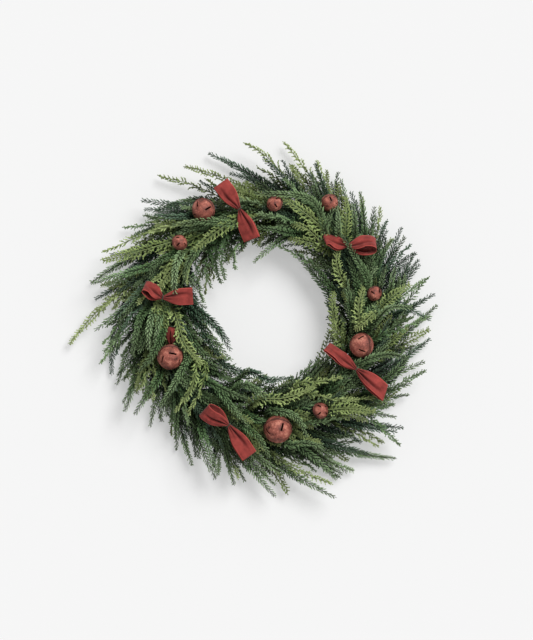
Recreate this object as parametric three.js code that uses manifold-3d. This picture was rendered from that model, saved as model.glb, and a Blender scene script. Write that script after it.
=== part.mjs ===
// A fresh evergreen wreath with rusty jingle bells and ribbon bows, lying on its back.
// Bunches of evergreen tips are bound with wire to a wire frame of three rails. Every bunch
// holds a few sprays that sweep counter-clockwise: low ones out past the frame, high ones along
// its crown and short ones round the hole. The bells and bows hang on the same binding wire.
// Millimetres, +Z up. Ring angles are degrees, counter-clockwise from +X, seen from above.
import * as THREE from 'three';
import { mergeVertices } from 'three/addons/utils/BufferGeometryUtils.js';
import Module from 'manifold-3d';

const wasm = await Module();
wasm.setup();

// ---------------------------------------------------------------- driving dimensions

const RAIL_RADIUS = 190; // the middle rail, which carries the bunches
const RAIL_SPREAD = 22; // the side rails lie this far inside and outside it
const RAIL_WIRE = 4; // wire diameter
const RAIL_RISE = 8; // how far the middle rail stands above the side rails
const BAR_COUNT = 4; // cross bars that join the rails

const BUNCH_COUNT = 28; // a rail has as many straight stretches
const BUNCH_STEP = 360 / BUNCH_COUNT;
const BUNDLE_RADIUS = 4.2; // cut stems, gathered where the wire binds them
const BUNDLE_BACK = 18; // they run this far behind the binding
const BUNDLE_FRONT = 8;

const BINDING_WIRE = 1.6; // diameter
const CLEAR = 0.35; // between pieces that touch

const SPINE_POINTS = 15; // points along each spray while the sprays settle
const SPRAY_GAP = 13; // the settled sprays' stems keep this far apart
const SETTLE_ROUNDS = 70;
const STEM_ROOM = 5.5; // and this far off the bells, bows and wires
const BAND_LENGTH = 24; // two whorls of needles for each band
const STEM_RADIUS = 1.8;
const STEM_TIP_RADIUS = 0.9;
const NEEDLE_CLEAR = 1; // needles stop this far inside their own spray's space
const FLOOR_CLEAR = 0.8;

const HOLE_CENTRE = new THREE.Vector2(12, 5); // the foliage leaves a round hole, a little off centre
const HOLE_RADIUS = 124;

// The tips that give the wreath its outline: [ring angle, radius].
const OUTER_TIPS = [
  [4, 343], [13, 322], [23, 319], [33, 319], [43, 309], [53, 304], [62, 303],
  [72, 311], [84, 337], [97, 334], [110, 333], [119, 324], [128, 337], [138, 325], [149, 318],
  [160, 332], [171, 343], [180, 322], [190, 383], [198, 330], [207, 318], [216, 331], [226, 312],
  [236, 298], [246, 328], [255, 335], [265, 330], [275, 359], [284, 339], [293, 386], [301, 355],
  [308, 340], [314, 387], [322, 353], [332, 328], [342, 334], [353, 331],
];

// How each kind of spray leaves the binding and where it ends. Angles are measured from the
// frame's own direction, positive outwards; `ahead` is how far round the ring the tip lies.
const OUTER = { bare: 66, ahead: 38, launch: 30, rise: 16, tipHeights: [14, 46] };
const CROWN = {
  bare: 42,
  count: 30,
  ahead: [36, 46],
  launch: 6,
  reach: 60,
  rise: 96,
  radii: [268, 200, 234],
  tipHeights: [66, 88, 82],
};
const INNER = {
  bare: 36,
  count: 24,
  ahead: [44, 38],
  launch: -33,
  reach: 52,
  rise: 46,
  inset: [0, 14],
  tipHeights: [24, 60],
};

// Two evergreens: round needle sprays and flat, feathery cedar fronds.
const GREENS = {
  pine: { colour: 0x3f6b3c, needle: 10.5, lean: 17, side: 1, up: 1 },
  dark_fir: { colour: 0x24452f, needle: 9.5, lean: 17, side: 1, up: 1 },
  cedar: { colour: 0x7c9a4c, needle: 14, lean: 19, side: 1, up: 0.35 },
};
const BUNCH_GREENS = 'pdcpdpcppcpdppcppdpcppcpdcpp';
const GREEN_OF_LETTER = { p: 'pine', d: 'dark_fir', c: 'cedar' };

// Jingle bells: centre (x, y, z from the ring's centre), diameter, the way the slotted end faces.
const BELLS = [
  { at: [-113, 198, 80], diameter: 43, faces: [-0.3, -0.3, 0.9] },
  { at: [-158, 135.5, 84], diameter: 28, faces: [0.35, 0.3, 0.88] },
  { at: [22, 209.5, 82], diameter: 29, faces: [-0.3, 0.35, 0.88] },
  { at: [126, 211, 80], diameter: 32, faces: [0.35, -0.35, 0.86] },
  { at: [211.5, 39, 84], diameter: 27, faces: [0.4, -0.3, 0.86] },
  { at: [187, -59.5, 82], diameter: 46, faces: [-0.72, 0.05, 0.7] },
  { at: [-176, -81.5, 82], diameter: 48, faces: [0.08, -0.45, 0.88] },
  { at: [28, -218.5, 80], diameter: 53, faces: [0, -0.64, 0.77] },
  { at: [109, -183, 84], diameter: 29, faces: [0.4, 0.15, 0.9] },
];
const BELL_WALL = 1.2;
const BELL_RIM = 1; // the crimped seam stands out this far
const BELL_SLOT = 2.4; // slot width
const BELL_SLOTS = 4;
const PEA_SHARE = 0.26; // the loose ball's diameter, as a share of the bell's

// Ribbon bows: the pinched middle and the two ends of the loops, from the ring's centre.
const BOWS = [
  { knot: [-44.5, 198.5, 96], ends: [[-80.5, 247.5, 93], [-21, 141.5, 88]] },
  { knot: [160, 128.5, 96], ends: [[110, 143.5, 96], [214, 131, 96]] },
  { knot: [-189.5, 30.5, 96], ends: [[-227, 53, 94], [-133, 34, 94]] },
  { knot: [176.5, -104.5, 96], ends: [[120.5, -62, 93], [227.5, -147, 91]] },
  { knot: [-65, -210.5, 96], ends: [[-108.5, -182.5, 94], [-26, -269, 87]] },
];
const RIBBON_WIDTH = 32;
const LOOP_DEPTH = 9; // a loop's two layers, at their fullest
const KNOT_WIDTH = 9;
const KNOT_DEPTH = 6;
const KNOT_LENGTH = 6;

// A short ribbon loop behind the bell on the left.
const BELL_RIBBON = { knot: [-171, -24, 74], end: [-174, -47, 84], width: 18 };

const COLOURS = { wire: 0x2c3a2a, binding: 0x34422f, bell: 0x9a4f3f, pea: 0x8a8a86, ribbon: 0x9c3d38 };

// ---------------------------------------------------------------- small helpers

const radians = THREE.MathUtils.degToRad;
const vector = (x, y, z) => new THREE.Vector3(x, y, z);
const polar = (angle, radius, z) =>
  vector(radius * Math.cos(radians(angle)), radius * Math.sin(radians(angle)), z);

// A repeatable number from 0 to 1 for each pair of indices.
function chance(index, draw) {
  const wave = Math.sin(index * 12.9898 + draw * 78.233) * 43758.5453;
  return wave - Math.floor(wave);
}
const between = (low, high, share) => low + (high - low) * share;

function solid(geometry) {
  const bare = geometry.clone();
  for (const name of Object.keys(bare.attributes)) {
    if (name !== 'position') bare.deleteAttribute(name);
  }
  const merged = mergeVertices(bare, 1e-4);
  return new wasm.Manifold(
    new wasm.Mesh({
      numProp: 3,
      vertProperties: merged.attributes.position.array,
      triVerts: new Uint32Array(merged.index.array),
    }),
  );
}

function geometryOf(manifold) {
  const { vertProperties, triVerts } = manifold.getMesh();
  const geometry = new THREE.BufferGeometry();
  geometry.setAttribute('position', new THREE.BufferAttribute(vertProperties, 3));
  geometry.setIndex(new THREE.BufferAttribute(triVerts, 1));
  return geometry;
}

const wreath = new THREE.Group();

function addMesh(name, geometry, colour, roughness = 0.8, metalness = 0) {
  const faceted = geometry.index ? geometry.toNonIndexed() : geometry;
  faceted.computeVertexNormals();
  const material = new THREE.MeshStandardMaterial({ color: colour, roughness, metalness });
  const mesh = new THREE.Mesh(faceted, material);
  mesh.name = name;
  wreath.add(mesh);
}

// A closed skin over a row of rings that all have the same number of corners. A ring of one
// point is a tip. `draw(a, b, c, band)` may replace a side face by faces of its own.
function skin(rings, draw = () => null) {
  const points = rings.flat();
  const starts = [];
  rings.reduce((start, ring) => (starts.push(start), start + ring.length), 0);
  const faces = [];
  const side = (a, b, c, band) => {
    const apex = draw(points[a], points[b], points[c], band);
    if (!apex) {
      faces.push(a, b, c);
      return;
    }
    const x = points.push(apex) - 1;
    faces.push(a, b, x, b, c, x, c, a, x);
  };
  for (let band = 0; band + 1 < rings.length; band++) {
    const corners = rings[band].length;
    for (let s = 0; s < corners; s++) {
      const next = (s + 1) % corners;
      const [a, b] = [starts[band] + s, starts[band] + next];
      if (rings[band + 1].length === 1) {
        side(a, b, starts[band + 1], band);
        continue;
      }
      side(a, b, starts[band + 1] + s, band);
      side(starts[band + 1] + s, b, starts[band + 1] + next, band);
    }
  }
  for (let s = 1; s + 1 < rings[0].length; s++) faces.push(0, s + 1, s);
  const last = starts.at(-1);
  for (let s = 1; s + 1 < rings.at(-1).length; s++) faces.push(last, last + s, last + s + 1);
  const geometry = new THREE.BufferGeometry().setFromPoints(points);
  return geometry.setIndex(faces);
}

// Directions at each point of a path: along it, across it and up off it. Across is level, or,
// for a wire, carried on from the point before so that the wire doesn't twist.
function framesOf(path, carried = false) {
  let across = null;
  return path.map((point, i) => {
    const along = path[Math.min(i + 1, path.length - 1)].clone().sub(path[Math.max(i - 1, 0)]).normalize();
    across = carried && across ? across.clone() : vector(0, 0, 1).cross(along);
    across.addScaledVector(along, -across.dot(along)).normalize();
    return { point, along, across, up: along.clone().cross(across) };
  });
}

// Corners round a path's point. Each ring is turned half a side from the one before it.
function ringAt({ point, across, up }, radius, corners, turn) {
  return Array.from({ length: corners }, (_, s) => {
    const angle = ((s + turn / 2) * 2 * Math.PI) / corners;
    return point
      .clone()
      .addScaledVector(across, radius * Math.cos(angle))
      .addScaledVector(up, radius * Math.sin(angle));
  });
}

const tube = (path, radius, corners = 3) =>
  skin(framesOf(path, true).map((frame, i) => ringAt(frame, radius, corners, i)));

// ---------------------------------------------------------------- frame and binding wire

const SIDE_RAIL_Z = (RAIL_WIRE / 2) * Math.sin(Math.PI / 3); // a six-sided wire lies on one flat
const MIDDLE_RAIL_Z = SIDE_RAIL_Z + RAIL_RISE;
const BUNDLE_Z = MIDDLE_RAIL_Z + RAIL_WIRE / 2 + CLEAR + BUNDLE_RADIUS * Math.sin(Math.PI / 3);

function rail(radius, height, corners, turn) {
  const profile = Array.from({ length: corners + 1 }, (_, i) => {
    const angle = ((i + turn) * 2 * Math.PI) / corners;
    return new THREE.Vector2(
      radius + (RAIL_WIRE / 2) * Math.cos(angle),
      height + (RAIL_WIRE / 2) * Math.sin(angle),
    );
  });
  return solid(new THREE.LatheGeometry(profile, BUNCH_COUNT).rotateX(Math.PI / 2));
}

function wireFrame() {
  let frame = rail(RAIL_RADIUS - RAIL_SPREAD, SIDE_RAIL_Z, 6, 0)
    .add(rail(RAIL_RADIUS + RAIL_SPREAD, SIDE_RAIL_Z, 6, 0))
    .add(rail(RAIL_RADIUS, MIDDLE_RAIL_Z, 4, 0.5));
  const sink = 0.8; // a bar ends this near the middle of the wire it is welded to
  for (let i = 0; i < BAR_COUNT; i++) {
    const angle = (Math.round((i * BUNCH_COUNT) / BAR_COUNT) + 0.5) * BUNCH_STEP;
    const bar = [
      polar(angle, RAIL_RADIUS - RAIL_SPREAD - sink, SIDE_RAIL_Z),
      polar(angle, RAIL_RADIUS, MIDDLE_RAIL_Z - sink),
      polar(angle, RAIL_RADIUS + RAIL_SPREAD + sink, SIDE_RAIL_Z),
    ];
    frame = frame.add(solid(tube(bar, RAIL_WIRE * 0.4)));
  }
  return frame;
}

// One turn of the binding round the middle rail and a bundle: [out from the rail, height, along it].
function bindingTurn() {
  const wire = BINDING_WIRE / 2;
  const side = BUNDLE_RADIUS + CLEAR + wire + 1;
  const top = BUNDLE_Z + BUNDLE_RADIUS + CLEAR + wire;
  const low = MIDDLE_RAIL_Z - RAIL_WIRE / 2 - CLEAR - wire;
  const link = MIDDLE_RAIL_Z + 2;
  return [
    [-side - 0.5, link, -6],
    [-side * 0.62, top, -0.8],
    [side * 0.62, top, 0.8],
    [side + 0.8, link, 2.6],
    [0, low - 1.9, 4.2],
    [-side - 0.5, link, 6.5],
  ];
}

const bindingRound = (bunch) =>
  bindingTurn().map(([out, height, ahead]) =>
    polar(bunch * BUNCH_STEP + THREE.MathUtils.radToDeg(ahead / RAIL_RADIUS), RAIL_RADIUS + out, height),
  );

// Halfway along the binding between two bunches, in the gap next to a decoration.
function tieFoot(at) {
  const bunch = Math.floor(THREE.MathUtils.radToDeg(Math.atan2(at.y, at.x)) / BUNCH_STEP);
  return bindingRound(bunch).at(-1).lerp(bindingRound(bunch + 1)[0], 0.5);
}

// ---------------------------------------------------------------- bells and bows: where they are

// The hanging loop at a bell's back, and the level way through it.
function bellLoop({ at, diameter, faces }) {
  const centre = vector(...at);
  const axis = vector(...faces).normalize();
  const middle = centre.clone().addScaledVector(axis, -(diameter / 2 + 1.6));
  const outward = vector(at[0], at[1], 0);
  const through = axis.clone().cross(outward).normalize();
  return { centre, axis, middle, through };
}

function tiePaths() {
  const paths = [];
  for (const bell of BELLS) {
    const { middle, axis, through } = bellLoop(bell);
    const foot = tieFoot(middle);
    const pull = middle.clone().addScaledVector(axis, -0.7); // the bell has drawn its loop up to the wire
    const sides = [-4, 4].map((d) => pull.clone().addScaledVector(through, d));
    sides.sort((a, b) => a.distanceTo(foot) - b.distanceTo(foot));
    paths.push([foot, ...sides]);
  }
  for (const { knot, ends } of BOWS) paths.push(waistTie(knot, ends));
  paths.push(waistTie(BELL_RIBBON.knot, [BELL_RIBBON.knot, BELL_RIBBON.end]));
  return paths;
}

// A wire that comes up from the binding and hooks over a bow's waist.
function waistTie(knot, [first, second]) {
  const middle = vector(...knot);
  const along = vector(second[0] - first[0], second[1] - first[1], 0).normalize();
  const across = vector(-along.y, along.x, 0);
  const half = KNOT_WIDTH / 2 + 2 * CLEAR + BINDING_WIRE / 2;
  const high = KNOT_DEPTH / 2 + 2 * CLEAR + BINDING_WIRE / 2;
  const turn = [
    [0, -high - 0.6, -1.2],
    [half, -high * 0.6, -1.2],
    [half, high * 0.6, -0.6],
    [half * 0.45, high, -0.2],
    [-half * 0.45, high, 0.2],
    [-half, high * 0.6, 0.6],
    [-half, -high * 0.6, 1.2],
  ];
  const points = turn.map(([side, up, ahead]) =>
    middle
      .clone()
      .addScaledVector(across, side)
      .addScaledVector(along, ahead)
      .add(vector(0, 0, up)),
  );
  return [tieFoot(points[0]), ...points];
}

// Spheres that the sprays keep clear of: {centre, radius}.
function obstacles() {
  const balls = BELLS.flatMap((bell) => [
    { centre: vector(...bell.at), radius: bell.diameter / 2 + BELL_RIM },
    { centre: bellLoop(bell).middle, radius: 4 },
  ]);
  for (const { knot, ends } of BOWS) {
    const middle = vector(...knot);
    balls.push({ centre: middle, radius: KNOT_WIDTH });
    for (const end of ends.map((e) => vector(...e))) {
      const along = end.clone().sub(middle);
      const across = vector(-along.y, along.x, 0).normalize();
      for (const share of [0.3, 0.55, 0.8, 1]) {
        for (const side of [-1, 1]) {
          const offset = side * RIBBON_WIDTH * 0.27 * Math.min(1, share + 0.15);
          const centre = middle.clone().addScaledVector(along, share).addScaledVector(across, offset);
          balls.push({ centre, radius: 9.5 });
        }
      }
    }
  }
  for (const path of tiePaths()) {
    for (let i = 0; i + 1 < path.length; i++) {
      const steps = Math.ceil(path[i].distanceTo(path[i + 1]) / 4);
      for (let s = 0; s <= steps; s++) {
        balls.push({ centre: path[i].clone().lerp(path[i + 1], s / steps), radius: 2.6 });
      }
    }
  }
  const [start, finish] = [vector(...BELL_RIBBON.knot), vector(...BELL_RIBBON.end)];
  for (const share of [0, 0.3, 0.6, 0.9]) {
    balls.push({ centre: start.clone().lerp(finish, share), radius: between(6, 11, share) });
  }
  return balls;
}

// ---------------------------------------------------------------- sprays: where they lie

// A spray's path from the binding to its tip, as a curve with one control point.
function sprayCurve(bunch, control, tip) {
  const start = polar(bunch * BUNCH_STEP + 1.2, RAIL_RADIUS, BUNDLE_Z);
  return new THREE.QuadraticBezierCurve3(start, control, tip).getSpacedPoints(SPINE_POINTS - 1);
}

// The point `reach` from a binding in a direction turned outwards from the frame's own.
function launchPoint(bunch, launch, reach, z) {
  const base = polar(bunch * BUNCH_STEP, RAIL_RADIUS, 0);
  return base.add(polar(bunch * BUNCH_STEP + 90 - launch, reach, z));
}

function outerSprays() {
  return OUTER_TIPS.map(([angle, radius], i) => {
    const ahead = OUTER.ahead + (radius - 320) * 0.2;
    const bunch = (Math.round((angle - ahead) / BUNCH_STEP) + BUNCH_COUNT) % BUNCH_COUNT;
    const tip = polar(angle, radius, OUTER.tipHeights[i % 2] + 6 * chance(i, 1));
    const base = polar(bunch * BUNCH_STEP, RAIL_RADIUS, 0);
    const reach = 0.5 * Math.hypot(tip.x - base.x, tip.y - base.y);
    const launch = OUTER.launch + between(-7, 7, chance(i, 2));
    const control = launchPoint(bunch, launch, reach, BUNDLE_Z + OUTER.rise + tip.z * 0.35);
    return { bunch, bare: OUTER.bare, path: sprayCurve(bunch, control, tip) };
  });
}

function crownSprays() {
  return Array.from({ length: CROWN.count }, (_, i) => {
    const bunch = Math.round((i * BUNCH_COUNT) / CROWN.count) % BUNCH_COUNT;
    const angle = (i * 360) / CROWN.count + between(...CROWN.ahead, chance(i, 3));
    const radius = CROWN.radii[i % 3] + between(-8, 8, chance(i, 4));
    const tip = polar(angle, radius, CROWN.tipHeights[i % 3] + between(-4, 4, chance(i, 5)));
    const launch = CROWN.launch + (radius - RAIL_RADIUS) * 0.18;
    const control = launchPoint(bunch, launch, CROWN.reach, CROWN.rise);
    return { bunch, bare: CROWN.bare, path: sprayCurve(bunch, control, tip) };
  });
}

function innerSprays() {
  return Array.from({ length: INNER.count }, (_, i) => {
    const bunch = Math.round((i * BUNCH_COUNT) / INNER.count) % BUNCH_COUNT;
    const level = i % 2;
    const angle = (i * 360) / INNER.count + INNER.ahead[level] + between(-3, 3, chance(i, 6));
    const radius = HOLE_RADIUS + INNER.inset[level] + between(-3, 5, chance(i, 7));
    const tip = polar(angle, radius, INNER.tipHeights[level] + 5 * chance(i, 8));
    tip.x += HOLE_CENTRE.x;
    tip.y += HOLE_CENTRE.y;
    const control = launchPoint(bunch, INNER.launch, INNER.reach, INNER.rise);
    return { bunch, bare: INNER.bare, path: sprayCurve(bunch, control, tip) };
  });
}

// Sprays that come too near each other or a decoration push each other aside. A spray moves
// more towards its tip, stays smooth, and is drawn back to where it was laid.
function settle(sprays, balls) {
  const laid = sprays.map(({ path }) => path.map((p) => p.clone()));
  const ends = SPINE_POINTS - 1;
  const hold = Array.from({ length: SPINE_POINTS }, (_, k) => Math.min(1, (k / ends) * 1.8));
  const free = Math.ceil(SPINE_POINTS * 0.2);
  const away = vector(0, 0, 0);
  for (let round = 0; round < SETTLE_ROUNDS; round++) {
    const push = sprays.map(({ path }) => path.map(() => vector(0, 0, 0)));
    sprays.forEach(({ path: a }, i) => {
      for (let j = i + 1; j < sprays.length; j++) {
        const b = sprays[j].path;
        for (let m = free; m < SPINE_POINTS; m++) {
          for (let n = free; n < SPINE_POINTS; n++) {
            away.subVectors(a[m], b[n]);
            const apart = away.length();
            if (apart >= SPRAY_GAP) continue;
            away.multiplyScalar((0.35 * (SPRAY_GAP - apart)) / (apart + 0.01));
            push[i][m].add(away);
            push[j][n].sub(away);
          }
        }
      }
      for (const { centre, radius } of balls) {
        const room = radius + SPRAY_GAP / 2;
        for (let m = 1; m < SPINE_POINTS; m++) {
          away.subVectors(a[m], centre);
          const apart = away.length();
          if (apart < room) push[i][m].addScaledVector(away, (0.6 * (room - apart)) / (apart + 0.01));
        }
      }
    });
    sprays.forEach(({ path }, i) => {
      path.forEach((p, k) => {
        p.addScaledVector(push[i][k].clampLength(0, 3), hold[k]);
        p.addScaledVector(away.subVectors(laid[i][k], p), 0.04);
        p.z = Math.max(p.z, k > 3 ? 13 : 11);
      });
      for (let k = 1; k < ends; k++) {
        away.addVectors(path[k - 1], path[k + 1]).multiplyScalar(0.5).sub(path[k]);
        path[k].addScaledVector(away, 0.3);
      }
      for (const { centre, radius } of balls) {
        for (const p of path.slice(1)) {
          away.subVectors(p, centre);
          if (away.length() < radius + STEM_ROOM) p.copy(centre).add(away.setLength(radius + STEM_ROOM));
        }
      }
    });
  }
}

// ---------------------------------------------------------------- sprays: stems with needles

// Whether a point lies in its own spray's space: off the floor, off its own stem, nearer to that
// stem than to any other and clear of the bells, bows and wires.
function inOwnSpace(point, offStem, { own, others, balls }) {
  if (point.z < FLOOR_CLEAR) return false;
  let near = Infinity;
  for (const p of own) near = Math.min(near, point.distanceTo(p));
  if (near < offStem) return false;
  const limit = near + NEEDLE_CLEAR;
  for (const p of others) if (point.distanceTo(p) < limit) return false;
  for (const { centre, radius } of balls) {
    if (point.distanceTo(centre) < radius + 2 * NEEDLE_CLEAR) return false;
  }
  return true;
}

// How a needle grows from a face of the stem: out from the stem and forwards, the way the stem
// is heading next. Cedar grows flat, so what points up or down is shorter.
function needleGrowth(root, frames, band, green, left) {
  const heading = (k) => {
    const from = Math.min(k, frames.length - 2);
    return frames[from + 1].point.clone().sub(frames[from].point).normalize();
  };
  const along = heading(band);
  const out = root.clone().sub(frames[band].point);
  out.addScaledVector(along, -out.dot(along)).normalize();
  const { across, up } = frames[band];
  const taper = Math.min(1, 0.45 + 1.3 * left);
  const flat = vector(0, 0, 0)
    .addScaledVector(across, green.side * out.dot(across))
    .addScaledVector(up, green.up * out.dot(up))
    .multiplyScalar(green.needle * taper);
  const next = along.lerp(heading(band + 1), 0.7).normalize();
  return { flat, forward: next.multiplyScalar(green.lean * taper) };
}

// A three-sided stem that tapers to a point. Past its bare stretch each face is drawn out into
// a needle, as long as the spray's own space allows.
function sprayGeometry({ path, bare }, green, space) {
  const curve = new THREE.CatmullRomCurve3(path);
  const length = curve.getLength();
  const bands = Math.max(4, Math.round((length - bare) / BAND_LENGTH));
  const stops = [0, bare / 2];
  for (let k = 0; k <= bands; k++) stops.push(between(bare, length, k / bands));
  const frames = framesOf(stops.map((stop) => curve.getPointAt(Math.min(1, stop / length))));
  const thickness = (k) => between(STEM_RADIUS, STEM_TIP_RADIUS, stops[k] / length);
  const rings = frames.map((frame, k) => ringAt(frame, thickness(k), 3, k));
  rings[rings.length - 1] = [frames.at(-1).point];
  return skin(rings, (a, b, c, band) => {
    if (stops[band] < bare) return null;
    const root = a.clone().add(b).add(c).divideScalar(3);
    const { flat, forward } = needleGrowth(root, frames, band, green, 1 - stops[band] / length);
    const reached = (share) => root.clone().addScaledVector(flat, share).addScaledVector(forward, share);
    const free = (share) => inOwnSpace(reached(share), share * flat.length(), space);
    const open = (from, share) => inOwnSpace(from.clone().lerp(reached(share), 0.5), 0, space);
    const clearLine = (share) => [1, 0.75, 0.5, 0.25].every((part) => free(share * part));
    const clearSides = (share) => [a, b, c].every((from) => open(from, share));
    const longest = [1, 0.8, 0.62, 0.46, 0.34].find((share) => clearLine(share) && clearSides(share));
    return longest ? reached(longest) : null;
  });
}

function bundle(bunch) {
  const { along } = framesOf([polar(bunch * BUNCH_STEP - 1, 1, 0), polar(bunch * BUNCH_STEP + 1, 1, 0)])[0];
  const start = polar(bunch * BUNCH_STEP, RAIL_RADIUS, BUNDLE_Z);
  const ends = [-BUNDLE_BACK, BUNDLE_FRONT].map((d) => start.clone().addScaledVector(along, d));
  return solid(skin(framesOf(ends).map((frame) => ringAt(frame, BUNDLE_RADIUS, 6, 0))));
}

function addBunches() {
  const sprays = [...outerSprays(), ...crownSprays(), ...innerSprays()];
  const balls = obstacles();
  settle(sprays, balls);
  const dense = sprays.map(({ path }) => new THREE.CatmullRomCurve3(path).getSpacedPoints(48));
  for (let bunch = 0; bunch < BUNCH_COUNT; bunch++) {
    const green = GREEN_OF_LETTER[BUNCH_GREENS[bunch]];
    let body = bundle(bunch);
    sprays.forEach((spray, i) => {
      if (spray.bunch !== bunch) return;
      const reach = new THREE.Box3().setFromPoints(dense[i]).expandByScalar(40);
      const space = {
        own: dense[i],
        others: dense.filter((_, j) => j !== i).flat().filter((p) => reach.containsPoint(p)),
        balls: balls.filter(({ centre }) => reach.containsPoint(centre)),
      };
      body = body.add(solid(sprayGeometry(spray, GREENS[green], space)));
    });
    const name = `${green}_bunch_${String(bunch + 1).padStart(2, '0')}`;
    addMesh(name, geometryOf(body), GREENS[green].colour, 0.85);
  }
}

// ---------------------------------------------------------------- bells

function bellShell(radius) {
  const rim = radius + BELL_RIM;
  const profile = [];
  const rows = 6;
  const sides = radius > 20 ? 12 : 8;
  for (let i = 0; i <= rows; i++) {
    const angle = -Math.PI / 2 + (i * Math.PI) / rows;
    const out = i === rows / 2 ? rim : radius * Math.cos(angle);
    profile.push(new THREE.Vector2(i % rows ? out : 0, radius * Math.sin(angle)));
  }
  const inside = new THREE.SphereGeometry(radius - BELL_WALL - 0.9, 8, 4, Math.PI / 8);
  let shell = solid(new THREE.LatheGeometry(profile, sides, Math.PI / sides)).subtract(solid(inside));
  for (let i = 0; i < BELL_SLOTS; i++) {
    const slot = new THREE.BoxGeometry(radius * 0.34, radius * 0.62, BELL_SLOT)
      .rotateZ(radians(-45))
      .translate(radius * 0.7, radius * 0.7, 0)
      .rotateY(radians(45 + (i * 360) / BELL_SLOTS));
    shell = shell.subtract(solid(slot));
  }
  const loop = new THREE.TorusGeometry(2.5, 0.8, 3, 5).translate(0, -radius - 1.6, 0);
  return shell.add(solid(loop));
}

// The loose ball has sunk through the bell until it all but touches the shell.
function restingBall(shell, centre, radius) {
  const around = solid(shell);
  let ball = solid(new THREE.IcosahedronGeometry(radius, 0).translate(...centre));
  for (let i = 0; i < 6; i++) {
    const gap = around.minGap(ball, 2 * BELLS[0].diameter);
    ball = ball.translate([0, 0, CLEAR - gap]);
  }
  return geometryOf(ball);
}

// A bell is modelled on +Y: its slots face +Y, its loop is at -Y and the way through it is Z.
function addBells() {
  BELLS.forEach((bell, i) => {
    const { centre, axis, through } = bellLoop(bell);
    const radius = bell.diameter / 2;
    const turn = new THREE.Matrix4().makeBasis(axis.clone().cross(through), axis, through);
    const name = `bell_${i + 1}`;
    const shell = geometryOf(bellShell(radius)).applyMatrix4(turn).translate(...centre);
    addMesh(`${name}_shell`, shell, COLOURS.bell, 0.65, 0.5);
    addMesh(`${name}_ball`, restingBall(shell, centre, radius * PEA_SHARE), COLOURS.pea, 0.4, 0.9);
  });
}

// ---------------------------------------------------------------- bows

// Flat six-sided sections: half-width across the ribbon, half-depth through the loop.
function ribbonRing(centre, across, halfWidth, halfDepth, sag) {
  const lift = (x) => sag * Math.abs(x / halfWidth);
  const corner = (x, z) => centre.clone().addScaledVector(across, x).add(vector(0, 0, z - lift(x)));
  return [
    corner(halfWidth, 0),
    corner(halfWidth * 0.5, halfDepth),
    corner(-halfWidth * 0.5, halfDepth),
    corner(-halfWidth, 0),
    corner(-halfWidth * 0.5, -halfDepth),
    corner(halfWidth * 0.5, -halfDepth),
  ];
}

function bowGeometry({ knot, ends }, width = RIBBON_WIDTH) {
  const middle = vector(...knot);
  const [first, second] = ends.map((end) => vector(...end));
  const direction = vector(second.x - first.x, second.y - first.y, 0).normalize();
  const across = vector(-direction.y, direction.x, 0);
  const rings = [];
  const half = (end, side, shares) => {
    const waist = middle.clone().addScaledVector(direction, (side * KNOT_LENGTH) / 2);
    for (const share of shares) {
      const open = Math.sin((Math.min(1, share * 1.25) * Math.PI) / 2);
      const halfWidth = between(KNOT_WIDTH, width, open) / 2;
      const swell = Math.sin(share * Math.PI);
      const halfDepth = between(KNOT_DEPTH, LOOP_DEPTH, swell) * between(0.5, 0.32, share);
      const centre = waist.clone().lerp(end, share);
      rings.push(ribbonRing(centre, across, halfWidth, halfDepth, 3 * swell));
    }
  };
  half(first, -1, [1, 0.8, 0.45, 0.2, 0]);
  half(second, 1, [0, 0.2, 0.45, 0.8, 1]);
  return skin(rings);
}

function addBows() {
  BOWS.forEach((bow, i) => addMesh(`bow_${i + 1}`, bowGeometry(bow), COLOURS.ribbon, 0.9));
  const { knot, end, width } = BELL_RIBBON;
  const back = vector(...knot).multiplyScalar(2).sub(vector(...end)).lerp(vector(...knot), 0.8);
  const loop = bowGeometry({ knot, ends: [end, back.toArray()] }, width);
  addMesh('bell_7_ribbon', loop, COLOURS.ribbon, 0.9);
}

// ---------------------------------------------------------------- assembly

function addWire() {
  addMesh('wire_frame', geometryOf(wireFrame()), COLOURS.wire, 0.5, 0.6);
  const bound = Array.from({ length: BUNCH_COUNT }, (_, i) => bindingRound(i)).flat();
  let binding = solid(tube(bound, BINDING_WIRE / 2));
  for (const path of tiePaths()) binding = binding.add(solid(tube(path, BINDING_WIRE / 2)));
  addMesh('binding_wire', geometryOf(binding), COLOURS.binding, 0.6, 0.4);
}

addWire();
addBunches();
addBells();
addBows();

// The origin is the middle of the whole wreath's outline, on the surface that it lies on.
const outline = new THREE.Box3().setFromObject(wreath, true);
const middle = outline.getCenter(vector(0, 0, 0));
wreath.position.set(-middle.x, -middle.y, -outline.min.z);

export default wreath;
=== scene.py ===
import math

import bmesh
import bpy
import numpy as np
from bpy.props import FloatProperty, FloatVectorProperty, IntProperty, PointerProperty
from mathutils import Matrix, Vector, kdtree, noise


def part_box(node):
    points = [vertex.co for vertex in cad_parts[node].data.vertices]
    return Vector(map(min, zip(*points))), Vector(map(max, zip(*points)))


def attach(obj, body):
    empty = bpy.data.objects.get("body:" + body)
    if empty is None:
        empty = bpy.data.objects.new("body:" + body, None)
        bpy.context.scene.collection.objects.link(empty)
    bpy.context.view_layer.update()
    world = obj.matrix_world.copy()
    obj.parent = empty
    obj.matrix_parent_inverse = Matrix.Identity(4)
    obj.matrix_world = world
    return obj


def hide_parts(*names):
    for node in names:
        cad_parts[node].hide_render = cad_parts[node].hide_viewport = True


# Fresh evergreen wreath with rusty jingle bells and ribbon bows, lying on its back.
# The sprays are laid out by the same rule as the solids that they stand for. That rule works in
# millimetres from the ring's centre, and every mesh is made in metres in the row frame.

bl_info = {
    "name": "Evergreen wreath",
    "version": (1, 0, 0),
    "blender": (4, 5, 0),
    "location": "View3D > Sidebar > Wreath",
    "description": "Evergreen bunches on a wire frame, with jingle bells and ribbon bows",
    "category": "Add Mesh",
}

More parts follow.
